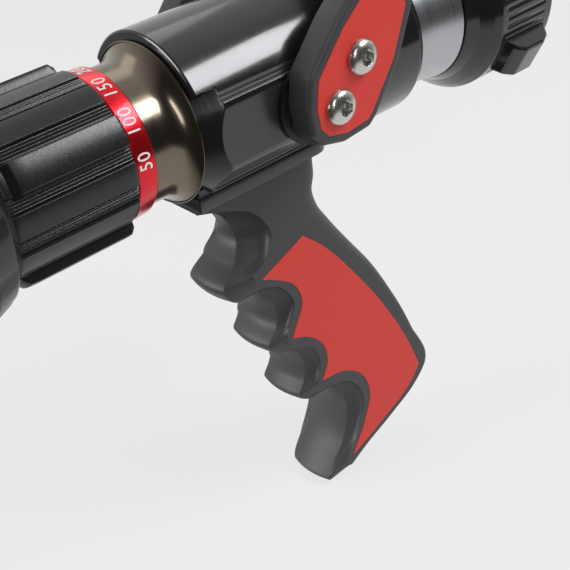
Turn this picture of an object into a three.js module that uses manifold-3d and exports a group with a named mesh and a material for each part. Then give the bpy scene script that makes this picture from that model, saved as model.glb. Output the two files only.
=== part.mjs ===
// Fire hose nozzle with a pistol grip: a ball shut-off valve worked by a bail handle, a selectable-flow
// ring, a rotating pattern sleeve and a swivel hose coupling.  Millimetres, +Z up, +X towards the hose.
// Stations along X are measured from the barrel's rim; the whole nozzle is then moved so that the
// centre of the coupling's inlet face is the origin.
import * as THREE from "three";
import { mergeVertices } from "three/addons/utils/BufferGeometryUtils.js";
import Module from "manifold-3d";

const wasm = await Module();
wasm.setup();

// ---- Driving dimensions ------------------------------------------------------------------------
const GAP = 0.3; // clearance left between two pieces that touch
const FACETS = 28; // facets round a large turned piece
const FINE_FACETS = 16; // facets round a small pin, hole or ring

const WATERWAY_R = 12.7; // one inch bore
const BARREL_R = 20.2;
const RIM_R = 24;
const FLARE_START = -7.5; // where the barrel starts to flare up to its rim
const BODY_R = 26.6;
const BODY_REAR = 84;
const FLAT_Y = 25.2; // the milled flat on each side of the valve body
const FLAT_HALF_Z = 8.5;
const RAIL_HALF_Y = 17.3;
const RAIL_BOTTOM = -23.5;
const RAIL_REAR = 51;

const PIVOT_X = 38.7; // axis of the ball and the bail
const BALL_R = 18;
const TRUNNION_R = 5.4;
const BAIL_LEAN = THREE.MathUtils.degToRad(39); // from upright, towards the hose
const ARM_INNER_Y = 26.8;
const ARM_OUTER_Y = 35.5;
const BAR_HEIGHT = 84; // from the pivot to the bail's cross bar

const RING_FRONT = -20.6;
const RING_REAR = -13.9;
const SLEEVE_FRONT = -72;
const LUG_R = 25.3;
const LUG_COUNT = 4;
const BUMPER_FRONT = -78;
const BUMPER_R = 30;

const NECK_R = 24;
const NECK_REAR = 104.3;
const COUPLING_R = 31;
const COUPLING_THREAD_R = 25.4;
const ADAPTER_REAR = 122;
const INLET_FACE = 140;
const ROCKER_LUGS = 3;

const GRIP_TOP = RAIL_BOTTOM - GAP;
const PANEL_DEPTH = 0.9;

// ---- Finishes ----------------------------------------------------------------------------------
const finish = (color, roughness, metalness) =>
  new THREE.MeshStandardMaterial({ color, roughness, metalness });
const BRONZE = finish(0x6e6350, 0.25, 1);
const BLACK_ANODISED = finish(0x17181a, 0.25, 1);
const RED_ANODISED = finish(0xc01828, 0.3, 1);
const SILVER = finish(0xb9babc, 0.35, 1);
const STAINLESS = finish(0xc4c3bf, 0.3, 1);
const BRASS = finish(0xb5974f, 0.35, 1);
const BLACK_RUBBER = finish(0x1b1c1e, 0.8, 0);
const GREY_NYLON = finish(0x48484b, 0.6, 0);
const RED_PANEL = finish(0xd0483e, 0.45, 0);
const WHITE_SEAT = finish(0xe8e6df, 0.5, 0);

// ---- Shapes ------------------------------------------------------------------------------------

// A closed geometry as a solid that can be joined and cut; its faces are made to point outwards.
function solid(geometry) {
  const bare = geometry.index ? geometry.toNonIndexed() : geometry.clone();
  bare.deleteAttribute("normal");
  bare.deleteAttribute("uv");
  const merged = mergeVertices(bare, 1e-4);
  const corners = Array.from(merged.index.array);
  const triangles = [];
  for (let i = 0; i < corners.length; i += 3) {
    const [a, b, c] = corners.slice(i, i + 3);
    if (a !== b && b !== c && c !== a) triangles.push(a, b, c);
  }
  const make = (list) =>
    new wasm.Manifold(
      new wasm.Mesh({
        numProp: 3,
        vertProperties: merged.attributes.position.array,
        triVerts: new Uint32Array(list),
      }),
    );
  const made = make(triangles);
  return made.volume() < 0 ? make(triangles.reverse()) : made;
}

const joined = (first, ...others) =>
  others.reduce((all, other) => all.add(other), first);
const cut = (first, ...tools) =>
  tools.reduce((left, tool) => left.subtract(tool), first);

// A solid of revolution about X from [x, radius] points.
function turned(profile, facets = FACETS) {
  const ring = profile[0][1] > 0 ? [...profile, profile[0]] : profile;
  const points = ring.map(([x, r]) => new THREE.Vector2(r, x));
  return solid(new THREE.LatheGeometry(points, facets).rotateZ(-Math.PI / 2));
}

// The same about Y, through (x, z): the profile's points are [y, radius].
function turnedAboutY(profile, x, z, facets = FINE_FACETS) {
  const ring = profile[0][1] > 0 ? [...profile, profile[0]] : profile;
  const points = ring.map(([y, r]) => new THREE.Vector2(r, y));
  return solid(new THREE.LatheGeometry(points, facets).translate(x, 0, z));
}

// A toroidal ring about X.
function seal(x, middleR, wireR, facets = FACETS - 8) {
  const torus = new THREE.TorusGeometry(middleR, wireR, 6, facets);
  return solid(torus.rotateY(Math.PI / 2).translate(x, 0, 0));
}

function block(x0, x1, y0, y1, z0, z1) {
  const box = new THREE.BoxGeometry(x1 - x0, y1 - y0, z1 - z0);
  return solid(box.translate((x0 + x1) / 2, (y0 + y1) / 2, (z0 + z1) / 2));
}

function rodX(radius, x0, x1, facets = FINE_FACETS) {
  const rod = new THREE.CylinderGeometry(radius, radius, x1 - x0, facets);
  return solid(rod.rotateZ(Math.PI / 2).translate((x0 + x1) / 2, 0, 0));
}

function rodY(radius, x, z, y0, y1, facets = FINE_FACETS) {
  const length = Math.abs(y1 - y0);
  const rod = new THREE.CylinderGeometry(radius, radius, length, facets);
  return solid(rod.translate(x, (y0 + y1) / 2, z));
}

function rodZ(radius, x, z0, z1, facets = FINE_FACETS) {
  const rod = new THREE.CylinderGeometry(radius, radius, z1 - z0, facets);
  return solid(rod.rotateX(Math.PI / 2).translate(x, 0, (z0 + z1) / 2));
}

const corners = (points) => points.map(([a, b]) => new THREE.Vector2(a, b));

// A flat plate: an outline of [x, z] points between two values of Y.
function plateY(points, y0, y1) {
  const shape = new THREE.Shape(corners(points));
  const depth = Math.abs(y1 - y0);
  const plate = new THREE.ExtrudeGeometry(shape, { depth, bevelEnabled: false });
  return solid(plate.rotateX(Math.PI / 2).translate(0, Math.max(y0, y1), 0));
}

// A bar along X whose section is an outline of [y, z] points.
function barX(points, x0, x1) {
  const shape = new THREE.Shape(corners(points));
  const bar = new THREE.ExtrudeGeometry(shape, { depth: x1 - x0, bevelEnabled: false });
  const [x, y, z] = [[1, 0, 0], [0, 1, 0], [0, 0, 1]].map((v) => new THREE.Vector3(...v));
  bar.applyMatrix4(new THREE.Matrix4().makeBasis(y, z, x));
  return solid(bar.translate(x0, 0, 0));
}

// An outline of [x, y] points between two heights.
function slabZ(points, z0, z1) {
  const shape = new THREE.Shape(corners(points));
  const slab = new THREE.ExtrudeGeometry(shape, { depth: z1 - z0, bevelEnabled: false });
  return solid(slab.translate(0, 0, z0));
}

// A smooth line through [x, y, z] points, sampled evenly between them.
function smooth(points, perSpan) {
  const places = points.map((point) => new THREE.Vector3(...point));
  const curve = new THREE.CatmullRomCurve3(places, false, "centripetal");
  const count = (points.length - 1) * perSpan;
  return Array.from({ length: count + 1 }, (_, i) => curve.getPoint(i / count).toArray());
}

// Points on a circular arc about (x, z), from one angle to another, in degrees.
function arc(x, z, radius, from, to, steps) {
  return Array.from({ length: steps + 1 }, (_, i) => {
    const angle = THREE.MathUtils.degToRad(from + ((to - from) * i) / steps);
    return [x + radius * Math.cos(angle), z + radius * Math.sin(angle)];
  });
}

// A skin over rings of equal length, each a loop of [x, y, z] points; the two end rings are flat and
// get lids.
function lofted(rings) {
  const count = rings[0].length;
  const triangles = [];
  for (let r = 0; r + 1 < rings.length; r += 1) {
    for (let i = 0; i < count; i += 1) {
      const [a, b] = [r * count + i, r * count + ((i + 1) % count)];
      triangles.push(a, b, b + count, a, b + count, a + count);
    }
  }
  const last = (rings.length - 1) * count;
  const lid = (ring) =>
    THREE.ShapeUtils.triangulateShape(corners(ring.map(([x, , z]) => [x, z])), []);
  lid(rings[0]).forEach(([a, b, c]) => triangles.push(c, b, a));
  lid(rings.at(-1)).forEach(([a, b, c]) => triangles.push(last + a, last + b, last + c));
  const geometry = new THREE.BufferGeometry();
  geometry.setAttribute("position", new THREE.Float32BufferAttribute(rings.flat(2), 3));
  geometry.setIndex(triangles);
  return solid(geometry);
}

// ---- Scene graph -------------------------------------------------------------------------------
const nozzle = new THREE.Group();
nozzle.position.x = -INLET_FACE;
const bail = new THREE.Group();
bail.position.x = PIVOT_X;
bail.rotation.y = BAIL_LEAN;
nozzle.add(bail);

function piece(name, body, material, parent = nozzle) {
  const { numProp, vertProperties, triVerts } = body.getMesh();
  const geometry = new THREE.BufferGeometry();
  geometry.setAttribute("position", new THREE.BufferAttribute(vertProperties, numProp));
  geometry.setIndex(new THREE.BufferAttribute(triVerts, 1));
  geometry.computeVertexNormals();
  const mesh = new THREE.Mesh(geometry, material);
  mesh.name = name;
  parent.add(mesh);
}

const SIDES = [
  ["left", -1],
  ["right", 1],
];

// ---- Front end: barrel, flow ring, pattern sleeve, baffle ----------------------------------------

const BARREL_BORE_R = 13.3;
const DETENT_X = (RING_FRONT + RING_REAR) / 2;
const SLEEVE_SEAL_X = -30;

function barrel() {
  const rise = RIM_R - BARREL_R;
  const flareR = (FLARE_START ** 2 + rise ** 2) / (2 * rise);
  const flareAngle = THREE.MathUtils.radToDeg(Math.asin(-FLARE_START / flareR));
  const flare = arc(FLARE_START, BARREL_R + flareR, flareR, -90, flareAngle - 90, 6);
  const outside = [
    [-60, 18.2],
    [-57, BARREL_R],
    [SLEEVE_SEAL_X - 1.2, BARREL_R],
    [SLEEVE_SEAL_X - 1.2, 18.4],
    [SLEEVE_SEAL_X + 1.2, 18.4],
    [SLEEVE_SEAL_X + 1.2, BARREL_R],
    ...flare,
  ];
  const inside = [
    [0, 17.1],
    [-12, 17.1],
    [-12, BARREL_BORE_R],
    [-40, BARREL_BORE_R],
    [-60, 16.2],
  ];
  const pocket = rodZ(1.8, DETENT_X, -BARREL_R - 1, -15.6);
  return cut(turned([...outside, ...inside]), pocket);
}

function flowRing() {
  return turned([
    [RING_FRONT, 20.5],
    [RING_FRONT, 21.6],
    [RING_FRONT + 0.5, 21.9],
    [RING_REAR - 0.8, 21.5],
    [RING_REAR, 21],
    [RING_REAR, 20.5],
  ]);
}

function sleeveCover() {
  const [front, rear] = [-57.7, RING_FRONT - GAP];
  const skin = turned([
    [front, 21.9],
    [front, 22.6],
    [rear - 1, 22.6],
    [rear, 22.2],
    [rear, 21.9],
  ]);
  const lugs = Array.from({ length: LUG_COUNT }, (_, i) => {
    const middle = 238 + (i * 360) / LUG_COUNT;
    const section = [
      ...arc(0, 0, LUG_R, middle - 10, middle + 10, 4),
      ...arc(0, 0, 22.2, middle + 13, middle - 13, 4),
    ];
    return barX(section, front + 4, rear);
  });
  return joined(skin, ...lugs);
}

function bumper() {
  return turned([
    [-58, 22.2],
    [BUMPER_FRONT, 22.2],
    [BUMPER_FRONT, 27],
    [BUMPER_FRONT + 2, 29.3],
    [-68, BUMPER_R],
    [-61, 27.5],
    [-58, 24],
  ]);
}

function fogTeethRing() {
  const ring = turned([
    [-77, 17.6],
    [-77, 21.8],
    [-72.6, 21.8],
    [-72.6, 17.6],
  ]);
  const teeth = 16;
  const slots = Array.from({ length: teeth }, (_, i) => {
    const middle = (i * 360) / teeth;
    const section = [
      ...arc(0, 0, 19.8, middle - 5, middle + 5, 1),
      ...arc(0, 0, 16, middle + 5, middle - 5, 1),
    ];
    return barX(section, -78, -74.4);
  });
  return cut(ring, ...slots);
}

function baffleHead() {
  return turned([
    [-61, 3.6],
    [-63.5, 8],
    [-65.5, 14.6],
    [-68, 15.2],
    [-68, 3.6],
  ]);
}

function stemSpider() {
  const hub = rodX(4.8, -30, -20);
  const vanes = [90, 210, 330].map((angle) => {
    const vane = new THREE.BoxGeometry(8, 2, 10);
    vane.translate(-25, 0, 8).rotateX(THREE.MathUtils.degToRad(angle - 90));
    return solid(vane);
  });
  return cut(joined(hub, ...vanes), rodX(3.5, -31, -19));
}

piece("barrel", barrel(), BRONZE);
piece("flow_ring", flowRing(), RED_ANODISED);
piece("sleeve_seal", seal(SLEEVE_SEAL_X, 19.45, 0.75), BLACK_RUBBER);
piece(
  "pattern_sleeve",
  turned([
    [SLEEVE_FRONT, 20.5],
    [SLEEVE_FRONT, 21.6],
    [RING_FRONT - GAP, 21.6],
    [RING_FRONT - GAP, 20.5],
  ]),
  BLACK_ANODISED,
);
piece("sleeve_grip_cover", sleeveCover(), BLACK_RUBBER);
piece("bumper", bumper(), BLACK_RUBBER);
piece(
  "stream_shaper",
  turned([
    [SLEEVE_FRONT, 17.4],
    [SLEEVE_FRONT, 20.2],
    [-60.4, 20.2],
    [-60.4, 19],
    [-64, 17.4],
  ]),
  BLACK_ANODISED,
);
piece("fog_teeth_ring", fogTeethRing(), RED_PANEL);
piece("stem_spider", stemSpider(), BRASS);
piece("baffle_stem", rodX(3.2, -70.5, -16), STAINLESS);
piece("baffle_head", baffleHead(), BRASS);
piece("baffle_nut", cut(rodX(6.3, -71.5, -68.3, 6), rodX(3.5, -73, -67)), STAINLESS);
piece(
  "detent_ball",
  solid(new THREE.SphereGeometry(1.4, 12, 8).translate(DETENT_X, 0, -18.8)),
  STAINLESS,
);
piece("detent_spring", cut(rodZ(1.4, DETENT_X, -17.2, -15.9), rodZ(0.8, DETENT_X, -18, -15)), STAINLESS);

// ---- Valve: body, ball, seats, trunnions ---------------------------------------------------------

const BODY_SEAL_X = -7.5;
const ADAPTER_SEAL_X = 63.5;
const GRIP_SCREWS = [
  ["front", 25],
  ["rear", 38],
];

function valveBody() {
  const turnedBody = turned([
    [-11.5, 16.7],
    [BODY_SEAL_X - 1.3, 16.7],
    [BODY_SEAL_X - 1.3, 14.9],
    [BODY_SEAL_X + 1.3, 14.9],
    [BODY_SEAL_X + 1.3, 16.7],
    [GAP, 16.7],
    [GAP, 20.5],
    [2.6, 20.5],
    [2.6, BODY_R - 0.9],
    [3.4, BODY_R],
    [BODY_REAR - 2.5, BODY_R],
    [BODY_REAR - 0.7, 25.9],
    [BODY_REAR, 24.4],
    [BODY_REAR, 21],
    [58, 21],
    [58, 19.3],
    [26, 19.3],
    [26, 16],
    [21, 16],
    [21, WATERWAY_R],
    [-11.5, WATERWAY_R],
  ]);
  const railPlan = [
    [GAP, -RAIL_HALF_Y],
    ...arc(RAIL_REAR - 6, -RAIL_HALF_Y + 6, 6, -90, 0, 4),
    ...arc(RAIL_REAR - 6, RAIL_HALF_Y - 6, 6, 0, 90, 4),
    [GAP, RAIL_HALF_Y],
  ];
  const rail = slabZ(railPlan, RAIL_BOTTOM, -17.5);
  const waterSpace = rodX(19.3, 26, 60, FACETS);
  const flats = SIDES.map(([, side]) => {
    const [near, far] = [FLAT_Y * side, 40 * side].sort((a, b) => a - b);
    return block(6.2, 64, near, far, -30, 30);
  });
  const chamfers = SIDES.map(([, side]) =>
    barX(
      [
        [side * FLAT_Y, -FLAT_HALF_Z],
        [side * RAIL_HALF_Y, -18],
        [side * RAIL_HALF_Y, -40],
        [side * 40, -40],
        [side * 40, -FLAT_HALF_Z],
      ],
      3,
      RAIL_REAR + 1,
    ),
  );
  const under = block(-1, RAIL_REAR + 1, -30, 30, -40, RAIL_BOTTOM);
  const trunnionHole = rodY(TRUNNION_R + 0.5, PIVOT_X, 0, -30, 30);
  const sealGrooves = SIDES.map(([, side]) => rodY(8, PIVOT_X, 0, side * 20.8, side * 23.2));
  const screwHoles = GRIP_SCREWS.map(([, x]) => rodZ(2.8, x, RAIL_BOTTOM - 1, -20.4));
  const outside = joined(cut(turnedBody, ...flats, ...chamfers, under), rail);
  return cut(outside, waterSpace, trunnionHole, ...sealGrooves, ...screwHoles);
}

function ball() {
  const sphere = solid(new THREE.SphereGeometry(BALL_R, 24, 16).translate(PIVOT_X, 0, 0));
  const slots = SIDES.map(([, side]) => {
    const [near, far] = [14.2 * side, 20 * side].sort((a, b) => a - b);
    return block(PIVOT_X - 3, PIVOT_X + 3, near, far, -7.3, 7.3);
  });
  return cut(sphere, rodX(WATERWAY_R, 0, 80, FACETS), ...slots);
}

function trunnion(side) {
  const stem = rodY(TRUNNION_R, PIVOT_X, 0, side * 18.3, side * 33.6);
  const [near, far] = [14.6 * side, 18.8 * side].sort((a, b) => a - b);
  const tongue = block(PIVOT_X - 2.6, PIVOT_X + 2.6, near, far, -5, 5);
  return cut(joined(stem, tongue), rodY(3, PIVOT_X, 0, side * 26, side * 40));
}

piece("valve_body", valveBody(), BLACK_ANODISED);
piece("body_seal", seal(BODY_SEAL_X, 16, 0.75), BLACK_RUBBER);
piece("ball", ball(), STAINLESS);
piece(
  "front_seat",
  turned([
    [21.3, 12.9],
    [25.6, 12.9],
    [27.3, 14.6],
    [28.9, 15.7],
    [21.3, 15.7],
  ]),
  WHITE_SEAT,
);
piece(
  "rear_seat",
  turned([
    [56.3, 12.9],
    [56.3, 18.9],
    [47.8, 18.9],
    [47.8, 16],
    [50.1, 14.6],
    [51.9, 12.9],
  ]),
  WHITE_SEAT,
);
for (const [name, side] of SIDES) {
  piece(`trunnion_${name}`, trunnion(side), STAINLESS);
  const ring = new THREE.TorusGeometry(6.75, 0.75, 6, FINE_FACETS);
  ring.rotateX(Math.PI / 2).translate(PIVOT_X, side * 22, 0);
  piece(`trunnion_seal_${name}`, solid(ring), BLACK_RUBBER);
  const washer = [
    [side * 25.5, 6.2],
    [side * 26.5, 6.2],
    [side * 26.5, 13.5],
    [side * 25.5, 13.5],
  ];
  piece(`thrust_washer_${name}`, turnedAboutY(washer, PIVOT_X, 0, FACETS), BLACK_RUBBER);
}

// ---- Bail handle, in its own frame: origin at the pivot, arms upright ----------------------------

const ARM_OUTLINE = [
  [1, -11.8],
  [8.5, -8.2],
  [14.8, -2.8],
  [16, 1.5],
  [16, 20],
  [9, 46],
  ...arc(0, BAR_HEIGHT, 9, 0, 180, 8),
  [-9, 46],
  [-13.8, 20],
  [-13.8, 3],
  [-9.2, -5],
  [-3.5, -10.6],
];
const COVER_OUTLINE = [
  [1, -8.6],
  [7, -5.6],
  [12.4, -0.8],
  [13, 1.8],
  [13, 19],
  [8.6, 34],
  [-7.6, 34],
  [-10.8, 19],
  [-10.8, 3.6],
  [-7.2, -3],
  [-2.4, -7.6],
];
const COVER_SCREWS = [
  ["pivot", 0],
  ["upper", 14.8],
];
const COVER_INNER_Y = 34.7;
const SCREW_HOLE_R = 3.1;

function bailArm(side) {
  const plate = plateY(ARM_OUTLINE, side * ARM_INNER_Y, side * ARM_OUTER_Y);
  return cut(
    plate,
    plateY(COVER_OUTLINE.map(([x, z]) => [x * 1.03, z * 1.03]), side * (COVER_INNER_Y - GAP), side * 40),
    rodY(TRUNNION_R + 0.4, 0, 0, side * 20, side * 33.9),
    rodY(6.4, 0, BAR_HEIGHT, side * 20, side * 33.3),
    ...COVER_SCREWS.map(([, z]) => rodY(SCREW_HOLE_R, 0, z, side * 20, side * 40)),
  );
}

function coverScrew(side, z, tip) {
  const seat = ARM_OUTER_Y + 0.4;
  const profile = [
    [tip, 0],
    [tip, 2.7],
    [seat, 2.7],
    [seat, 5.25],
    [seat + 0.7, 5.1],
    [seat + 1.7, 4.3],
    [seat + 2.6, 2.9],
    [seat + 2.8, 0],
  ];
  const button = turnedAboutY(profile.map(([y, r]) => [side * y, r]), 0, z);
  return cut(button, rodY(2.3, 0, z, side * (seat + 1), side * (seat + 4), 6));
}

for (const [name, side] of SIDES) {
  piece(`bail_arm_${name}`, bailArm(side), GREY_NYLON, bail);
  const cover = cut(
    plateY(COVER_OUTLINE, side * COVER_INNER_Y, side * (ARM_OUTER_Y + 0.1)),
    ...COVER_SCREWS.map(([, z]) => rodY(SCREW_HOLE_R, 0, z, side * 20, side * 40)),
  );
  piece(`bail_cover_${name}`, cover, RED_PANEL, bail);
  COVER_SCREWS.forEach(([place, z], i) => {
    piece(`${place}_screw_${name}`, coverScrew(side, z, i ? 29 : 27), STAINLESS, bail);
  });
}
piece("bail_bar", rodY(6, 0, BAR_HEIGHT, -33, 33), STAINLESS, bail);
piece(
  "bail_bar_grip",
  turnedAboutY(
    [
      [-26.4, 6.4],
      [-26.4, 9],
      [-24, 10],
      [24, 10],
      [26.4, 9],
      [26.4, 6.4],
    ],
    0,
    BAR_HEIGHT,
    FACETS / 2,
  ),
  BLACK_RUBBER,
  bail,
);

// ---- Inlet: adapter, swivel coupling, gasket, strainer -------------------------------------------

const SWIVEL_WIRE_X = 113;

function inletAdapter() {
  return turned([
    [56.6, 12.9],
    [56.6, 18.9],
    [58.6, 18.9],
    [58.6, 20.7],
    [ADAPTER_SEAL_X - 1.3, 20.7],
    [ADAPTER_SEAL_X - 1.3, 18.9],
    [ADAPTER_SEAL_X + 1.3, 18.9],
    [ADAPTER_SEAL_X + 1.3, 20.7],
    [BODY_REAR + GAP, 20.7],
    [BODY_REAR + GAP, 22],
    [95, 22.7],
    [NECK_REAR - 1, NECK_R],
    [NECK_REAR, NECK_R - 0.4],
    [NECK_REAR, 21.3],
    [SWIVEL_WIRE_X - 1.5, 21.3],
    [SWIVEL_WIRE_X - 1.5, 20.2],
    [SWIVEL_WIRE_X + 1.5, 20.2],
    [SWIVEL_WIRE_X + 1.5, 21.3],
    [ADAPTER_REAR, 21.3],
    [ADAPTER_REAR, 18.6],
    [80, 14.5],
  ]);
}

function couplingRing() {
  const front = NECK_REAR + GAP;
  const ring = turned([
    [front, 21.8],
    [front, 24.3],
    [108.5, 26.3],
    [112, 29.5],
    [114, COUPLING_R],
    [INLET_FACE - 1.5, COUPLING_R],
    [INLET_FACE, COUPLING_R - 1.5],
    [INLET_FACE, COUPLING_THREAD_R],
    [121.6, COUPLING_THREAD_R],
    [121.6, 21.8],
    [SWIVEL_WIRE_X + 1.5, 21.8],
    [SWIVEL_WIRE_X + 1.5, 23.2],
    [SWIVEL_WIRE_X - 1.5, 23.2],
    [SWIVEL_WIRE_X - 1.5, 21.8],
  ]);
  const lugs = Array.from({ length: ROCKER_LUGS }, (_, i) => {
    const side = [
      [117, 29],
      [136, 29],
      [134, 34.5],
      [130, 36.5],
      [122, 36.5],
      [118.5, 34],
    ];
    const shape = new THREE.Shape(corners(side));
    const lug = new THREE.ExtrudeGeometry(shape, { depth: 13, bevelEnabled: false });
    lug.rotateX(Math.PI / 2).translate(0, 6.5, 0);
    return solid(lug.rotateX((i * 2 * Math.PI) / ROCKER_LUGS));
  });
  return joined(ring, ...lugs);
}

function strainer() {
  const disc = rodX(18, 122.5, 123.7, FACETS);
  const rings = [
    [0, 1],
    [5.6, 6],
    [11.2, 12],
  ];
  const holes = rings.flatMap(([radius, count]) =>
    Array.from({ length: count }, (_, i) => {
      const angle = (i * 2 * Math.PI) / count;
      const hole = new THREE.CylinderGeometry(2, 2, 4, 8).rotateZ(Math.PI / 2);
      return solid(hole.translate(123, radius * Math.cos(angle), radius * Math.sin(angle)));
    }),
  );
  return cut(disc, ...holes);
}

piece("inlet_adapter", inletAdapter(), SILVER);
piece("adapter_seal", seal(ADAPTER_SEAL_X, 19.9, 0.7), BLACK_RUBBER);
piece("coupling_ring", couplingRing(), BLACK_ANODISED);
piece("swivel_wire", seal(SWIVEL_WIRE_X, 21.65, 1.1), STAINLESS);
piece(
  "coupling_gasket",
  turned([
    [122.4, 18.4],
    [122.4, 25.1],
    [125.4, 25.1],
    [125.4, 18.4],
  ]),
  BLACK_RUBBER,
);
piece("inlet_strainer", strainer(), STAINLESS);

// ---- Pistol grip ---------------------------------------------------------------------------------

// Front outline at the side panels and along the spine, from the top down: each finger's hollow, then a lip.
const SIDE_FRONT = [
  [2.6, -26.5],
  [12.5, -29.5],
  [22, -34.5],
  [27.2, -43.9],
  [25.1, -50.3],
  [19.2, -56.3],
  [19.9, -58.9],
  [29, -64.4],
  [33.2, -72.9],
  [30.6, -79.4],
  [29.2, -84.2],
  [30, -87.9],
  [38.9, -93.2],
  [41.4, -101.9],
  [40.2, -106.8],
  [40.6, -109.4],
  [43.8, -111.6],
  [53.4, -115],
  [59, -125.6],
  [55.8, -138.1],
  [49.6, -149.7],
  [50.4, -151.4],
];
// The spine's points also hold its half width, which is least above the index finger.
const SPINE_FRONT = [
  [2.6, -26.5, 8],
  [9.5, -30.5, 6.6],
  [18, -38, 3.4],
  [20.2, -46.3, 4.4],
  [16.3, -52, 7],
  [10.2, -59.2, 8.3],
  [12.4, -62.7, 8.8],
  [22.9, -64.8, 8.6],
  [28.6, -73, 8.5],
  [28.5, -80, 8.6],
  [23.9, -86.8, 8.8],
  [26.6, -90.2, 8.7],
  [34.3, -93.2, 8.6],
  [37.8, -101.5, 8.6],
  [36.8, -107.4, 8.8],
  [33.9, -112.4, 8.9],
  [37.4, -115.6, 8.8],
  [48.5, -116.8, 8.6],
  [54.4, -127, 8.6],
  [52.4, -140, 9],
  [43.6, -154.4, 9],
  [46.8, -156.7, 8.4],
];
// Rear and base outline, from the heel of the base up to the web under the valve body.
const REAR = [
  [54.3, -152.2],
  [60, -148.2],
  [74.4, -139.9],
  [85.4, -132.5],
  [90.5, -125.8],
  [84.4, -107.3],
  [76.4, -88.8],
  [68.7, -73.7],
  [60.9, -62],
  [53.7, -50.9],
  [49.3, -43],
  [47.9, -36.8],
  [49, -31.5],
  [49, -27.5],
];
const INLAY_OUTLINE = [
  [21.9, -57.9],
  [27.5, -60.7],
  [34, -65.9],
  [36.1, -73.4],
  [33.5, -79.8],
  [30.9, -85.1],
  [36.6, -87.3],
  [42.7, -93.1],
  [44.3, -100.7],
  [41.5, -108.2],
  [49.8, -108.9],
  [57.8, -114],
  [61.6, -124.1],
  [59.2, -134.2],
  [52.1, -148.3],
  [65.3, -141.1],
  [81.2, -130.2],
  [85, -124.7],
  [80.6, -113],
  [70.3, -92],
  [58.2, -72.8],
  [45, -55.5],
  [38.7, -49.6],
];

// How the side outline turns into the spine across half the grip's width.
const GRIP_STATIONS = [
  { share: 0, rearNarrowing: 0, rearInset: 3.6 },
  { share: 0.12, rearNarrowing: 1.2, rearInset: 1.5 },
  { share: 0.65, rearNarrowing: 3.5, rearInset: 0.3 },
  { share: 1, rearNarrowing: 6.5, rearInset: 0 },
];
const SPINE_CROWN = 1.6;

// The grip's flat sides draw together from the palm to the finger tips.
function gripHalfY(x, z) {
  return 12.3 + 0.0714 * x + 0.0229 * z;
}

// One ring of [x, y, z] points round the grip; side is -1 or 1, and 0 is the crown of the spine.
function gripRing(side, { share, rearNarrowing, rearInset }) {
  const blend = (a, b) => a + (b - a) * share;
  const front = SIDE_FRONT.map(([x, z], i) => {
    const [spineX, spineZ, spineY] = SPINE_FRONT[i];
    const crown = side || !i ? 0 : SPINE_CROWN;
    return [blend(x, spineX) - crown, side * blend(gripHalfY(x, z), spineY), blend(z, spineZ)];
  });
  const rear = REAR.map(([x, z]) => {
    const y = gripHalfY(x - rearInset, z) - rearNarrowing;
    return [x - rearInset * 0.8, side * y, z];
  });
  const top = [rear.at(-1), front[0]].map(([x, y]) => [x, y, GRIP_TOP]);
  return [...smooth([...front, ...rear], 2), ...top];
}

// A plate on the grip's tapering side, from one height above the side to another.
function gripPlate(outline, side, inner, outer) {
  const ringAt = (height) => outline.map(([x, z]) => [x, side * (gripHalfY(x, z) + height), z]);
  const rings = [ringAt(inner), ringAt(outer)];
  return lofted(side < 0 ? rings.reverse() : rings);
}

function gripBody() {
  const rings = [
    ...GRIP_STATIONS.map((station) => gripRing(-1, station)),
    gripRing(0, GRIP_STATIONS.at(-1)),
    ...GRIP_STATIONS.map((station) => gripRing(1, station)).reverse(),
  ];
  const recess = SIDES.map(([, side]) => gripPlate(grown(INLAY_OUTLINE, 0.4), side, -PANEL_DEPTH - GAP, 3));
  const screwRooms = GRIP_SCREWS.flatMap(([end, x]) => [
    rodZ(2.9, x, -33, GRIP_TOP + 1),
    rodZ(4.7, x, -36.6, -28.6),
    end === "front" ? block(0, x, -1.6, 1.6, -36, -32) : block(x, 60, -1.6, 1.6, -36, -32),
  ]);
  return cut(lofted(rings), ...recess, ...screwRooms);
}

// An outline moved outwards by a small distance, corner by corner.
function grown(points, distance) {
  const at = (i) => new THREE.Vector2(...points[(i + points.length) % points.length]);
  const turning = Math.sign(THREE.ShapeUtils.area(corners(points)));
  return points.map((_, i) => {
    const before = at(i).sub(at(i - 1)).normalize();
    const after = at(i + 1).sub(at(i)).normalize();
    const along = before.add(after).normalize();
    const p = at(i);
    return [p.x + along.y * distance * turning, p.y - along.x * distance * turning];
  });
}

function gripScrew(x) {
  const head = rodZ(4.25, x, -33.8, -28.9);
  return cut(joined(head, rodZ(2.4, x, -29, -20.8)), rodZ(2.2, x, -34, -31.4, 6));
}

piece("pistol_grip", gripBody(), GREY_NYLON);
for (const [name, side] of SIDES) {
  const panel = gripPlate(INLAY_OUTLINE, side, -PANEL_DEPTH, 0.1);
  piece(`grip_panel_${name}`, panel, RED_PANEL);
}
for (const [name, x] of GRIP_SCREWS) {
  piece(`grip_screw_${name}`, gripScrew(x), STAINLESS);
}

export default nozzle;
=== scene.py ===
"""Fire hose nozzle with a pistol grip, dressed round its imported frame.

Sizes are in millimetres in the nozzle's own layout, where x runs along the waterway from the
barrel's rim towards the hose, and are turned to the frame's metres when a mesh is made.
"""

import logging
import math
from dataclasses import dataclass
from enum import Enum
from typing import Any, Sequence

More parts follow.
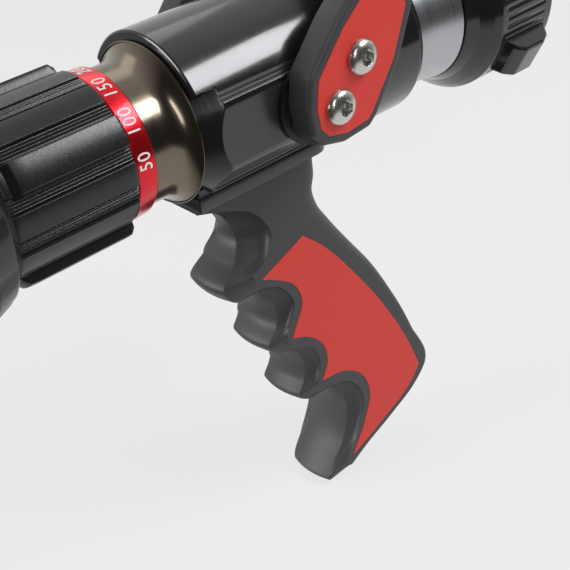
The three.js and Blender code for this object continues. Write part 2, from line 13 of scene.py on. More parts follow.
import bmesh
import bpy
import numpy as np
from mathutils import Matrix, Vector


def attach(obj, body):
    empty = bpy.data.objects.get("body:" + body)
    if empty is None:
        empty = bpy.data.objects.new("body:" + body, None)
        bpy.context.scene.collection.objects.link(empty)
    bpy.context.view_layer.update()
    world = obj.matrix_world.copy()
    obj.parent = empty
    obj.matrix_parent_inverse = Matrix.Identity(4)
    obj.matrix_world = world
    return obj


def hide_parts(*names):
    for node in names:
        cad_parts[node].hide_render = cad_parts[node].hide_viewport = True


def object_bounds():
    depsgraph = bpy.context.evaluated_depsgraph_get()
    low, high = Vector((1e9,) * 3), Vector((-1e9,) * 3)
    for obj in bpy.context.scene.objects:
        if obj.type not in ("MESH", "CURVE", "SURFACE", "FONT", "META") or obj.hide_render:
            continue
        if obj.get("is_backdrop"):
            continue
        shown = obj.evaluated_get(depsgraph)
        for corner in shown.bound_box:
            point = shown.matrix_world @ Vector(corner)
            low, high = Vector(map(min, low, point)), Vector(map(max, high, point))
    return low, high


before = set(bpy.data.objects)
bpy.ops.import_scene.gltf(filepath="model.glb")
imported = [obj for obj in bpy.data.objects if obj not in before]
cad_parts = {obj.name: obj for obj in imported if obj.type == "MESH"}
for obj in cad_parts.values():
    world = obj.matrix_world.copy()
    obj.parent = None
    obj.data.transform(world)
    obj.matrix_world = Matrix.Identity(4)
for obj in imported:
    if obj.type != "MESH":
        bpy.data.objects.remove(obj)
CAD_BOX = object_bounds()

LOG = logging.getLogger("nozzle")
MM = 0.001
INLET_FACE = 140.0  # from the barrel's rim to the frame's origin, mm
TAU = 2 * math.pi
WELD = 2e-6  # points nearer than this become one, m
LONGEST_CUT = 0.48  # the most of a side that one rounded corner takes
SIDES: tuple[tuple[str, int], ...] = (("left", -1), ("right", 1))

Pairs = Sequence[Sequence[float]]


# ---- Geometry ----------------------------------------------------------------------------------


@dataclass
class Shell:
    """One closed surface: rows of points, each row a loop, with each row joined to the next.

    Attributes:
        rows: Points in millimetres, shaped (rows, points in a row, 3).
        ring: Whether the last row joins the first, as on a turned ring. Otherwise the first and
            last rows get flat lids.
    """

    rows: np.ndarray
    ring: bool = False


def shell_faces(shell: Shell, start: int) -> list[list[int]]:
    """Numbers the faces of a shell: a quad between each two neighbours on each two rows.

    Args:
        shell: The shell.
        start: The number of its first point.

    Returns:
        A list of point numbers for each face.
    """
    count, width = shell.rows.shape[:2]
    spans = count if shell.ring else count - 1
    row = np.arange(spans)[:, None]
    column = np.arange(width)[None, :]
    beside = (column + 1) % width
    here, below = row * width, (row + 1) % count * width
    quads = np.stack([here + column, here + beside, below + beside, below + column], axis=-1)
    faces = (quads.reshape(-1, 4) + start).tolist()
    if not shell.ring:
        first = np.arange(width) + start
        faces += [first[::-1].tolist(), (first + (count - 1) * width).tolist()]
    return faces


def mesh_piece(name: str, shells: Sequence[Shell], crease: float = 32.0) -> bpy.types.Object:
    """Makes one object of closed shells, with its place in its mesh and its faces outwards.

    Args:
        name: The piece's name.
        shells: Its closed surfaces.
        crease: Edges that turn by more than this many degrees stay sharp.

    Returns:
        The new object.
    """
    faces: list[list[int]] = []
    points = []
    start = 0
    for shell in shells:
        faces += shell_faces(shell, start)
        points.append(shell.rows.reshape(-1, 3))
        start += points[-1].shape[0]
    places = (np.concatenate(points) - [INLET_FACE, 0.0, 0.0]) * MM
    mesh = bpy.data.meshes.new(name)
    mesh.from_pydata(places.tolist(), [], faces)
    work = bmesh.new()
    work.from_mesh(mesh)
    bmesh.ops.remove_doubles(work, verts=work.verts, dist=WELD)
    bmesh.ops.recalc_face_normals(work, faces=work.faces)
    work.to_mesh(mesh)
    work.free()
    mesh.shade_smooth()
    mesh.set_sharp_from_angle(angle=math.radians(crease))
    corners = np.empty(len(mesh.polygons), np.int32)
    mesh.polygons.foreach_get("loop_total", corners)
    # A lid is one flat face of many corners, and is shaded flat.
    mesh.polygons.foreach_set("use_smooth", corners <= 4)
    piece = bpy.data.objects.new(name, mesh)
    bpy.context.scene.collection.objects.link(piece)
    return piece


def rounded(corners: Pairs, radius: float = 0.0, steps: int = 5, closed: bool = True) -> np.ndarray:
    """Rounds the corners of an outline.

    Each corner becomes the curve (1-t)^2 A + 2t(1-t) P + t^2 B, where P is the corner and A and B
    lie on its two sides at the rounding's reach, which is never over LONGEST_CUT of a side.

    Args:
        corners: (a, b) or (a, b, radius) for each corner, in order.
        radius: The radius of a corner that states none.
        steps: Spans in each rounded corner.
        closed: Whether the last corner joins the first.

    Returns:
        Points shaped (points, 2).
    """
    found: list[np.ndarray] = []
    count = len(corners)
    t = np.linspace(0, 1, steps + 1)[:, None]
    for i, corner in enumerate(corners):
        here = np.array(corner[:2], float)
        reach = corner[2] if len(corner) > 2 else radius
        if reach <= 0 or (not closed and i in (0, count - 1)):
            found.append(here[None])
            continue
        back = np.array(corners[i - 1][:2], float) - here
        ahead = np.array(corners[(i + 1) % count][:2], float) - here
        lengths = np.linalg.norm(back), np.linalg.norm(ahead)
        back, ahead = back / lengths[0], ahead / lengths[1]
        half = 0.5 * math.acos(float(np.clip(back @ ahead, -1, 1)))
        cut = min(reach / max(math.tan(half), 1e-3), LONGEST_CUT * min(lengths))
        a, b = here + back * cut, here + ahead * cut
        found.append((1 - t) ** 2 * a + 2 * t * (1 - t) * here + t**2 * b)
    return np.concatenate(found)


def evenly(points: np.ndarray, spacing: float) -> np.ndarray:
    """Adds points along a closed outline's long sides, so that no side is over spacing long.

    Args:
        points: The outline, shaped (points, 2).
        spacing: The longest side left.

    Returns:
        The outline with its own points and the added ones.
    """
    following = np.roll(points, -1, axis=0)
    lengths = np.linalg.norm(following - points, axis=1)
    parts = np.maximum(1, np.ceil(lengths / spacing).astype(int))
    owner = np.repeat(np.arange(len(points)), parts)
    order = np.arange(len(owner)) - np.repeat(np.cumsum(parts) - parts, parts)
    share = (order / parts[owner])[:, None]
    return points[owner] * (1 - share) + following[owner] * share


def spline(points: Pairs, spans: int) -> np.ndarray:
    """A smooth line through points, without overshoot where they are unevenly spaced.

    The slope at a point is the mean of its two chords' slopes, each weighted with the other chord's
    length, and between two points it is the Hermite cubic of their places and slopes.

    Args:
        points: Points of any number of coordinates.
        spans: Spans between each two points.

    Returns:
        The sampled points.
    """
    given = np.array(points, float)
    chord = np.diff(given, axis=0)
    length = np.linalg.norm(chord, axis=1, keepdims=True)
    slope = chord / length
    inner = (length[1:] * slope[:-1] + length[:-1] * slope[1:]) / (length[1:] + length[:-1])
    slopes = np.concatenate([slope[:1], inner, slope[-1:]])
    t = np.linspace(0, 1, spans, endpoint=False)[None, :, None]
    p0, p1 = given[:-1, None], given[1:, None]
    m0, m1 = (slopes[:-1] * length)[:, None], (slopes[1:] * length)[:, None]
    rise = 3 * t**2 - 2 * t**3
    cubic = p0 * (1 - rise) + p1 * rise + m0 * (t - 2 * t**2 + t**3) + m1 * (t**3 - t**2)
    return np.concatenate([cubic.reshape(-1, given.shape[1]), given[-1:]])


def turned(profile: np.ndarray, segments: int = 192, ring: bool = True) -> Shell:
    """A profile of (x, radius) points turned about the waterway: (x, -r cos a, r sin a).

    Args:
        profile: The profile's points.
        segments: Points round the circle.
        ring: Whether the profile is closed. One that is open starts and ends on the axis.

    Returns:
        The surface.
    """
    return ribbed(profile[:, 0], np.repeat(profile[:, 1:2], segments, axis=1), ring)


def ribbed(x: np.ndarray, radius: np.ndarray, ring: bool = False) -> Shell:
    """A surface whose radius changes both along the waterway and round it.

    Args:
        x: Places along the waterway, shaped (rows,).
        radius: Radii, shaped (rows, points round), the first facing -y.
        ring: Whether the last row joins the first.

    Returns:
        The surface.
    """
    angle = np.linspace(0, TAU, radius.shape[1], endpoint=False)[None, :]
    along = np.broadcast_to(x[:, None], radius.shape)
    return Shell(np.stack([along, -radius * np.cos(angle), radius * np.sin(angle)], axis=-1), ring)


def outline_normals(outline: np.ndarray) -> np.ndarray:
    """Unit normals out of a closed outline: the chord between each point's neighbours, turned.

    Args:
        outline: The outline, shaped (points, 2), in either direction.

    Returns:
        One normal for each point.
    """
    chord = np.roll(outline, -1, axis=0) - np.roll(outline, 1, axis=0)
    normal = np.stack([chord[:, 1], -chord[:, 0]], axis=1)
    normal /= np.maximum(np.linalg.norm(normal, axis=1, keepdims=True), 1e-9)
    following = np.roll(outline, -1, axis=0)
    area = np.sum(outline[:, 0] * following[:, 1] - following[:, 0] * outline[:, 1])
    return normal * np.sign(area)


def plate(outline: np.ndarray, levels: Pairs) -> Shell:
    """A plate on the x-z plane: at each (height y, inset) the outline moves in by the inset.

    Args:
        outline: Its (x, z) outline.
        levels: The (y, inset) pairs, from one face to the other.

    Returns:
        The surface.
    """
    normal = outline_normals(outline)
    rows = []
    for height, inset in levels:
        flat = outline - normal * inset
        rows.append(np.stack([flat[:, 0], np.full(len(flat), height), flat[:, 1]], axis=1))
    return Shell(np.array(rows))


def smoothstep(value: np.ndarray, low: float, high: float) -> np.ndarray:
    """Rises from 0 at low to 1 at high as 3t^2 - 2t^3."""
    t = np.clip((value - low) / (high - low), 0, 1)
    return t * t * (3 - 2 * t)


def angle_from(angle: np.ndarray, middle: float | np.ndarray) -> np.ndarray:
    """The least turn in degrees between angles and a middle, never negative."""
    return np.abs((angle - middle + 180) % 360 - 180)


# ---- Finishes ----------------------------------------------------------------------------------


def linear(colour: str) -> tuple[float, float, float, float]:
    """Turns an sRGB hex value to a linear colour.

    Args:
        colour: The value, such as "#6b6254".

    Returns:
        Red, green, blue and alpha.
    """
    channels = [int(colour[i : i + 2], 16) / 255 for i in (1, 3, 5)]
    turned_linear = [c / 12.92 if c <= 0.04045 else ((c + 0.055) / 1.055) ** 2.4 for c in channels]
    return (*turned_linear, 1.0)


def add_node(
    tree: bpy.types.NodeTree,
    kind: str,
    settings: dict[str | int, Any] | None = None,
    links: dict[str | int, bpy.types.NodeSocket] | None = None,
) -> bpy.types.Node:
    """Adds a node with its settings and links.

    Args:
        tree: The material's or world's tree.
        kind: The node's type name.
        settings: Values by property name, or by an input's name or number.
        links: Sockets to link, by the input's name or number.

    Returns:
        The new node.
    """
    node = tree.nodes.new(kind)
    for key, value in (settings or {}).items():
        if isinstance(key, int) or key in node.inputs:
            node.inputs[key].default_value = value
        else:
            setattr(node, key, value)
    for key, socket in (links or {}).items():
        tree.links.new(socket, node.inputs[key])
    return node


class Surface(Enum):
    """How a surface was made, which settles its fine pattern."""

    TURNED = "turned on a lathe: rings round the waterway"
    MILLED = "milled or drawn: lines along the waterway"
    MOULDED = "moulded: a fine even grain"
    CAST = "moulded rubber: a coarser, softer grain"
    POLISHED = "polished: almost no pattern"


# The grain's scale along x, y and z. A small value draws it out into lines that way.
EVEN = (1.0, 1.0, 1.0)
STRETCH = {Surface.TURNED: (1.0, 0.02, 0.02), Surface.MILLED: (0.03, 1.0, 1.0)}
# Tool marks and moulded grain are really 0.05 to 0.2 mm apart, too fine to show at this size, so
# each finish's grain is drawn coarser, at 0.3 to 0.7 mm.
PATCH_SPACING = 1000 / 55  # from one worn patch to the next, mm
PATCH_NOISE = (0.42, 0.72)  # where the broad noise starts and ends a worn patch
GRAIN_NOISE = (0.3, 0.7)  # the fine noise of the smoothest and the roughest spots
SMOOTHEST, ROUGHEST = 0.86, 1.16  # their roughness against the mean
RANGE = ("From Min", "From Max", "To Min", "To Max")  # a Map Range node's four inputs


@dataclass(frozen=True)
class Finish:
    """A real material and how its surface was made.

    Attributes:
        name: The material's common name.
        colour: Its main colour, sRGB hex.
        worn: The colour that handling and wear bring up in patches.
        metallic: 1 for bare metal, less under dye, 0 for anything that hides the metal.
        roughness: Its mean roughness.
        surface: How it was made.
        grain: The pattern's real spacing, mm.
        relief: The pattern's height, mm.
        slot: The record's material slot. Not used.
        coat: How much clear or sealed skin lies on it.
        coat_roughness: The skin's roughness.
        patches: How strongly the worn colour shows, 0 to 1.
    """

    name: str
    colour: str
    worn: str
    metallic: float
    roughness: float
    surface: Surface
    grain: float
    relief: float
    slot: str
    coat: float = 0.0
    coat_roughness: float = 0.1
    patches: float = 0.25

    def made(self) -> bpy.types.Material:
        """Returns the material, making it when first asked for."""
        existing = bpy.data.materials.get(self.name)
        return existing or self._make()

    def _make(self) -> bpy.types.Material:
        """Builds the node tree: grain for bump and roughness, and broad patches for colour.

        Returns:
            The new material.
        """
        material = bpy.data.materials.new(self.name)
        material.use_nodes = True
        tree = material.node_tree
        tree.nodes.clear()
        place = add_node(tree, "ShaderNodeTexCoord").outputs["Object"]
        # One cycle of noise is one grain: a metre over the grain's size.
        stretch = {"Scale": STRETCH.get(self.surface, EVEN)}
        lay = add_node(tree, "ShaderNodeMapping", stretch, {"Vector": place})
        fine = {"Scale": 1.0 / (self.grain * MM), "Detail": 3.0, "Roughness": 0.55}
        grain = add_node(tree, "ShaderNodeTexNoise", fine, {"Vector": lay.outputs["Vector"]})
        wide = {"Scale": 1.0 / (PATCH_SPACING * MM), "Detail": 4.0, "Roughness": 0.6}
        broad = add_node(tree, "ShaderNodeTexNoise", wide, {"Vector": place})
        worn = dict(zip(RANGE, (*PATCH_NOISE, 0.0, self.patches)))
        amount = add_node(tree, "ShaderNodeMapRange", worn, {"Value": broad.outputs["Fac"]})
        blend = {0: amount.outputs["Result"]}
        colour = add_node(tree, "ShaderNodeMix", {"data_type": "RGBA"}, blend)
        colour.inputs[6].default_value = linear(self.colour)
        colour.inputs[7].default_value = linear(self.worn)
        span = self.roughness * SMOOTHEST, min(1.0, self.roughness * ROUGHEST)
        sheen = dict(zip(RANGE, (*GRAIN_NOISE, *span)))
        rough = add_node(tree, "ShaderNodeMapRange", sheen, {"Value": grain.outputs["Fac"]})
        bump = add_node(
            tree,
            "ShaderNodeBump",
            {"Strength": 1.0, "Distance": self.relief * MM},
            {"Height": grain.outputs["Fac"]},
        )
        shader = add_node(
            tree,
            "ShaderNodeBsdfPrincipled",
            {
                "Metallic": self.metallic,
                "Coat Weight": self.coat,
                "Coat Roughness": self.coat_roughness,
            },
            {
                "Base Color": colour.outputs[2],
                "Roughness": rough.outputs["Result"],
                "Normal": bump.outputs["Normal"],
            },
        )
        add_node(tree, "ShaderNodeOutputMaterial", None, {"Surface": shader.outputs["BSDF"]})
        return material


# Aluminium turned on a lathe and hard-anodised: dark olive bronze, still metallic, faint rings.
BRONZE = Finish(
    "hard_anodised_bronze_aluminium", "#746a5e", "#857a69", 1.0, 0.2,
    Surface.TURNED, 0.5, 0.0012, "bronze",
)
# Clear red dye over bright turned aluminium: saturated, and white where a lamp is mirrored.
RED_ANODISE = Finish(
    "red_anodised_aluminium", "#d80d20", "#e22835", 0.85, 0.24,
    Surface.TURNED, 0.5, 0.0008, "red_ring", coat=0.35, coat_roughness=0.12,
)
# Epoxy ink filled in and cured: matt, slightly warm, and never quite white.
WHITE_INK = Finish(
    "white_epoxy_ink", "#f3efea", "#e6e0d8", 0.0, 0.5,
    Surface.MOULDED, 0.3, 0.001, "red_ring",
)
# Black hard anodising over turned metal: a glassy skin on the round parts.
BLACK_TURNED = Finish(
    "black_anodised_turned_aluminium", "#19191b", "#202023", 0.0, 0.16,
    Surface.TURNED, 0.6, 0.0006, "black_anodised", coat=0.3, coat_roughness=0.06,
)
# The same anodising on milled metal: satin, a mid grey under a soft light.
BLACK_MILLED = Finish(
    "black_anodised_milled_aluminium", "#2c2b2d", "#323133", 0.0, 0.24,
    Surface.MILLED, 0.7, 0.0012, "black_anodised", coat=0.25, coat_roughness=0.2,
)
# Aluminium turned and clear-anodised: a cool pale grey whose broad highlights have soft ends.
SILVER = Finish(
    "clear_anodised_aluminium", "#b4b6b9", "#9ea1a5", 1.0, 0.3,
    Surface.TURNED, 0.5, 0.001, "silver",
)
# Stainless steel, drawn and tumbled bright: slightly warm, with clear but softened reflections.
STAINLESS = Finish(
    "polished_stainless_steel", "#cbc9c3", "#b6b2aa", 1.0, 0.27,
    Surface.POLISHED, 0.6, 0.0006, "stainless",
)
# Brass as it leaves the lathe: yellow, and brown where it has been handled.
BRASS = Finish(
    "machined_brass", "#c79a4b", "#ab7f38", 1.0, 0.25,
    Surface.TURNED, 0.5, 0.001, "brass",
)
# Glass-filled nylon from a spark-eroded mould: dark neutral grey with an even fine grain.
GREY_NYLON = Finish(
    "grained_grey_nylon", "#3c3c3f", "#444447", 0.0, 0.48,
    Surface.MOULDED, 0.45, 0.006, "grey_nylon",
)
# Dyed nylon from a smooth mould: a flat warm red with a dull, even sheen.
RED_NYLON = Finish(
    "red_nylon_inlay", "#dc392e", "#df4034", 0.0, 0.5,
    Surface.MOULDED, 0.4, 0.002, "red_inlay",
)
# Acetal moulded in one shot: a deeper red than the nylon, and slightly waxy.
RED_TEETH = Finish(
    "red_moulded_acetal", "#c43a33", "#b8322c", 0.0, 0.34,
    Surface.MOULDED, 0.4, 0.002, "red_nylon",
)
# Rubber moulded against polished steel: near black, with a soft grey gloss on every edge.
BLACK_RUBBER = Finish(
    "moulded_black_rubber", "#1b1b1d", "#242426", 0.0, 0.27,
    Surface.CAST, 0.7, 0.006, "black_rubber",
)
# Nitrile seals, moulded and greased: black and dull beside the handled rubber.
SEAL_RUBBER = Finish(
    "smooth_nitrile_rubber", "#151516", "#1e1e20", 0.0, 0.5,
    Surface.CAST, 0.6, 0.003, "seal_rubber",
)
# PTFE, pressed and sintered: a warm milky white with no clear reflection.
SEAT_PLASTIC = Finish(
    "white_ptfe", "#e8e6df", "#dcd9d0", 0.0, 0.4,
    Surface.MOULDED, 0.5, 0.002, "seat_plastic",
)


def dress(
    piece: bpy.types.Object, finish: Finish, body: str, stands_for: Sequence[str] = ()
) -> bpy.types.Object:
    """Gives a new piece its finish, its body and the frame's nodes that it stands for.

    Args:
        piece: The new piece.
        finish: Its finish.
        body: The frame's body that it rides on.
        stands_for: Frame nodes that it replaces.

    Returns:
        The piece.
    """
    piece.data.materials.clear()
    piece.data.materials.append(finish.made())
    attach(piece, body)
    if stands_for:
        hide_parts(*stands_for)
    LOG.info("%s: %s, on %s", piece.name, finish.name, body)
    return piece


def dress_node(node: str, finish: Finish) -> None:
    """Gives a node whose shape is kept its finish.

    Args:
        node: The frame node's name.
        finish: Its finish.
    """
    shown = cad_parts[node]
    shown.data.materials.clear()
    shown.data.materials.append(finish.made())
    LOG.info("%s: %s, its own shape", node, finish.name)


# ---- Front end ---------------------------------------------------------------------------------


@dataclass
class FrontEnd:
    """Barrel, flow ring, pattern sleeve with cover and bumper, and the outlet's inner pieces."""

    barrel_r: float = 20.2
    rim_r: float = 24.0
    flare_start: float = -7.5
    ring_front: float = -20.6
    ring_rear: float = -13.9
    band_front: tuple[float, float] = (-20.15, 21.85)
    band_rear: tuple[float, float] = (-14.4, 21.55)
    cover_front: float = -57.7
    cover_r: float = 22.3
    cover_low_r: float = 21.9
    cover_bore_r: float = 21.7
    pad_r: float = 23.0
    lug_r: float = 25.25
    pad_middle: float = 2.0
    pad_pitch: float = 30.0
    bumper_front: float = -77.8
    bumper_r: float = 29.9
    digit_height: float = 4.1
    capital_share: float = 0.72  # a digit's height over the font's size
    condensed: float = 0.86
    digits: tuple[tuple[str, float], ...] = (
        ("50", 6.0),
        ("100", 35.5),
        ("150", 66.0),
        ("200", 97.0),
    )

    def build(self) -> None:
        """Builds every piece of the front end."""
        self.build_barrel()
        self.build_ring()
        self.build_sleeve()
        self.build_cover()
        self.build_bumper()
        self.build_outlet()

    def build_barrel(self) -> None:
        """The barrel: a plain tube whose outside flares to its rim along one concave arc."""
        rise = self.rim_r - self.barrel_r
        arc_r = (self.flare_start**2 + rise**2) / (2 * rise)
        sweep = math.asin(-self.flare_start / arc_r)
        angle = np.linspace(0, sweep, 28)
        flare = np.stack(
            [
                self.flare_start + arc_r * np.sin(angle),
                self.barrel_r + arc_r * (1 - np.cos(angle)),
            ],
            axis=1,
        )
        flare = flare[flare[:, 1] < self.rim_r - 0.42]
        outside = rounded([(-60, 18.2, 0.3), (-57, self.barrel_r, 0.5)], closed=False)
        along = np.linspace(-56, self.flare_start - 0.4, 14)
        straight = np.stack([along, np.full(14, self.barrel_r)], axis=1)
        rim = rounded(
            [
                (-0.62, self.rim_r - 0.3, 0.0), (-0.3, self.rim_r, 0.2),
                (0, self.rim_r - 0.3, 0.15), (0, 21.4, 0.0), (-0.6, 21.0, 0.0), (-0.6, 17.1, 0.0),
                (-12, 17.1, 0.0), (-12, 13.3, 0.3), (-40, 13.3, 1.0), (-60, 16.2, 0.0),
            ],
            closed=False,
        )
        profile = np.concatenate([outside, straight, flare, rim])
        piece = mesh_piece("barrel_skin", [turned(profile, 256)], crease=24)
        dress(piece, BRONZE, "nozzle_body", ["barrel"])

    def build_ring(self) -> None:
        """The flow ring's band, with raised plain numbers."""
        profile = rounded(
            [
                (self.ring_front, 20.55, 0.1), (self.ring_front, 21.55, 0.12),
                (*self.band_front, 0.15), (*self.band_rear, 0.15), (self.ring_rear, 21.15, 0.12),
                (self.ring_rear, 20.55, 0.1),
            ],
            steps=3,
        )
        ring = mesh_piece("flow_ring_band", [turned(profile, 256)], crease=28)
        dress(ring, RED_ANODISE, "flow_ring", ["flow_ring"])
        for text, middle in self.digits:
            dress(self.number(text, middle), WHITE_INK, "flow_ring")

    def number(self, text: str, middle: float) -> bpy.types.Object:
        """A number laid round the ring, read upwards on the near side.

        A glyph point (u, v, w) goes to the angle middle + condensed u / R, to x = centre - v, and
        to a hair over the band's radius there, plus w. R is the band's mean radius.

        Args:
            text: The digits.
            middle: The angle of its middle, degrees up from -y.

        Returns:
            The number as a mesh.
        """
        curve = bpy.data.curves.new(f"number_{text}", "FONT")
        curve.body = text
        curve.size = self.digit_height / self.capital_share
        curve.align_x = "CENTER"
        curve.align_y = "CENTER"
        curve.shear = 0.06
        curve.offset = 0.012
        curve.space_character = 1.12
        curve.extrude = 0.07
        curve.resolution_u = 6
        maker = bpy.data.objects.new("number_maker", curve)
        bpy.context.scene.collection.objects.link(maker)
        bpy.context.view_layer.update()
        mesh = bpy.data.meshes.new_from_object(maker)
        bpy.data.objects.remove(maker)
        bpy.data.curves.remove(curve)
        mesh.name = f"ring_number_{text}"
        flat = np.empty(len(mesh.vertices) * 3)
        mesh.vertices.foreach_get("co", flat)
        flat = flat.reshape(-1, 3)
        centre = (self.ring_front + self.ring_rear) / 2
        x = centre - flat[:, 1]
        (front_x, front_r), (rear_x, rear_r) = self.band_front, self.band_rear
        skin = front_r + (rear_r - front_r) * (x - front_x) / (rear_x - front_x)
        radius = skin + 0.03 + flat[:, 2]
        angle = math.radians(middle) + self.condensed * flat[:, 0] * 2 / (front_r + rear_r)
        laid = np.stack([x - INLET_FACE, -radius * np.cos(angle), radius * np.sin(angle)], axis=1)
        mesh.vertices.foreach_set("co", (laid * MM).ravel())
        mesh.materials.clear()
        piece = bpy.data.objects.new(f"ring_number_{text}", mesh)
        bpy.context.scene.collection.objects.link(piece)
        return piece

    def build_sleeve(self) -> None:
        """The sleeve's inner tube, which its cover hides but for the two ends."""
        profile = rounded(
            [(-71.9, 20.55), (-71.9, 21.55), (-21.0, 21.55), (-21.0, 20.55)], radius=0.15, steps=2
        )
        tube = mesh_piece("pattern_sleeve_tube", [turned(profile, 192)])
        dress(tube, BLACK_TURNED, "pattern_sleeve", ["pattern_sleeve"])
        profile = rounded(
            [(-71.9, 17.5), (-71.9, 20.1), (-60.5, 20.1), (-60.5, 19.1), (-64, 17.5)],
            radius=0.2,
            steps=2,
        )
        shaper = mesh_piece("stream_shaper_ring", [turned(profile, 192)])
        dress(shaper, BLACK_TURNED, "stream_shaper", ["stream_shaper"])

    def build_cover(self) -> None:
        """The moulded cover: smooth pads, fine ribs between them, and every third pad a tall lug.

        The section is a straight ramp onto each pad, with |sin| ribs where there is no pad and a
        narrow groove at the pad's foot. The ends are rounded down, and each lug is one taller
        smooth step over that.
        """
        angle = np.linspace(0, 360, 1440, endpoint=False)
        pad_angles = self.pad_middle + self.pad_pitch * np.arange(12)
        nearest = np.min(angle_from(angle[:, None], pad_angles[None, :]), axis=1)
        lug_angles = self.pad_middle + self.pad_pitch + 3 * self.pad_pitch * np.arange(4)
        nearest_lug = np.min(angle_from(angle[:, None], lug_angles[None, :]), axis=1)
        pad = np.interp(nearest, (8.2, 9.5), (1.0, 0.0))
        lug = 1 - smoothstep(nearest_lug, 9.0, 13.0)
        half_turns = 360 / 4.6
        ribs = 0.42 * np.abs(np.sin(np.radians(angle - self.pad_middle) * half_turns)) ** 0.8
        groove = np.abs(nearest - 9.9) < 0.5
        low = self.cover_r + np.where(groove, -0.35, ribs - 0.25)
        section = low * (1 - pad) + self.pad_r * pad
        x = np.concatenate(
            [
                self.cover_front + np.array([0.0, 0.15, 0.5, 1.1, 2.2, 3.4, 4.0]),
                np.linspace(-52, -26, 12),
                self.ring_front - np.array([4.2, 2.6, 1.6, 1.0, 0.6, 0.32]),
            ]
        )
        end = smoothstep(x, self.cover_front - 1.2, self.cover_front + 1.1)
        end = end * smoothstep(-x, -self.ring_front - 0.7, -self.ring_front + 1.1)
        lug_end = smoothstep(x, self.cover_front + 1.0, self.cover_front + 4.5)
        lug_end = lug_end * (0.62 + 0.38 * smoothstep(-x, 20.8, 22.4))
        base = self.cover_low_r
        skin = base + (section[None, :] - base) * (0.55 + 0.45 * end[:, None])
        skin = np.maximum(skin, base + (self.lug_r - base) * lug[None, :] * lug_end[:, None])
        inner = np.full((2, len(angle)), self.cover_bore_r)
        radius = np.concatenate([skin, inner])
        along = np.concatenate([x, x[[-1, 0]]])
        cover = mesh_piece("sleeve_cover_moulding", [ribbed(along, radius, ring=True)], crease=38)
        dress(cover, BLACK_RUBBER, "pattern_sleeve", ["sleeve_grip_cover"])

    def build_bumper(self) -> None:
        """The bumper: a soft bell with scalloped finger grooves along its outside."""
        profile = rounded(
            [
                (-58, 22.3, 0.2), (-58, 23.8, 0.4), (-61, 27.2, 1.8), (-68, self.bumper_r, 2.5),
                (-76, 29.2, 1.2), (self.bumper_front, 27.2, 0.9), (self.bumper_front, 22.7, 0.5),
                (-77.2, 22.3, 0.3),
            ],
            steps=6,
        )
        angle = np.linspace(0, TAU, 480, endpoint=False)[None, :]
        wave = 0.5 - 0.5 * np.cos(12 * angle)
        depth = 0.9 * np.clip((profile[:, 1][:, None] - 25.0) / 4.0, 0, 1)
        away = smoothstep(-profile[:, 0], 58, 63) * (1 - smoothstep(-profile[:, 0], 74.5, 77))
        radius = profile[:, 1][:, None] - depth * away[:, None] * wave**3
        bumper = mesh_piece("nose_bumper", [ribbed(profile[:, 0], radius, ring=True)], crease=40)
        dress(bumper, BLACK_RUBBER, "pattern_sleeve", ["bumper"])

    def build_outlet(self) -> None:
        """The fog teeth, the baffle with its nut and stem, and the spider that holds the stem."""
        segments = 384
        angle = np.linspace(0, 360, segments, endpoint=False)
        tooth = smoothstep(angle_from(angle * 16 % 360, 0.0), 85, 105)
        bore = 17.7 + 2.0 * (1 - tooth)
        x = np.array([-76.9, -76.7, -74.6, -74.4, -72.7, -72.7, -76.9])
        outer = np.full((2, segments), 21.7)
        root = np.full(segments, 17.7)
        radius = np.stack([bore + 0.15, bore, bore, root, root])
        teeth = mesh_piece("fog_teeth", [ribbed(x, np.concatenate([radius, outer]), ring=True)])
        dress(teeth, RED_TEETH, "fog_teeth", ["fog_teeth_ring"])
        head = rounded(
            [
                (-61, 3.65), (-63.5, 8, 2), (-65.5, 14.5, 1.5), (-67.2, 15.1, 0.4),
                (-67.9, 14.6, 0.2), (-67.9, 3.65),
            ],
            radius=0.2,
        )
        dress(mesh_piece("baffle_disc", [turned(head, 128)]), BRASS, "baffle", ["baffle_head"])
        stem = rounded(
            [(-70.4, 0.0), (-70.4, 3.15, 0.4), (-16.1, 3.15, 0.4), (-16.1, 0.0)],
            closed=False,
            steps=3,
        )
        rod = mesh_piece("baffle_rod", [turned(stem, 64, ring=False)])
        dress(rod, STAINLESS, "baffle", ["baffle_stem"])
        turn = np.radians(np.linspace(0, 360, 96, endpoint=False))
        hexagon = 5.42 / np.cos((turn + math.pi / 6) % (math.pi / 3) - math.pi / 6)
        x = np.array([-71.4, -71.0, -68.8, -68.4, -68.4, -71.4])
        crown = np.minimum(hexagon, 5.75)
        inner = np.full(96, 3.45)
        nut = np.stack([crown, hexagon, hexagon, crown, inner, inner])
        locked = mesh_piece("lock_nut", [ribbed(x, nut, ring=True)])
        dress(locked, STAINLESS, "baffle", ["baffle_nut"])
        for node, finish in (
            ("stem_spider", BRASS),
            ("sleeve_seal", SEAL_RUBBER),
            ("detent_ball", STAINLESS),
            ("detent_spring", STAINLESS),
        ):
            dress_node(node, finish)


# ---- Valve body --------------------------------------------------------------------------------


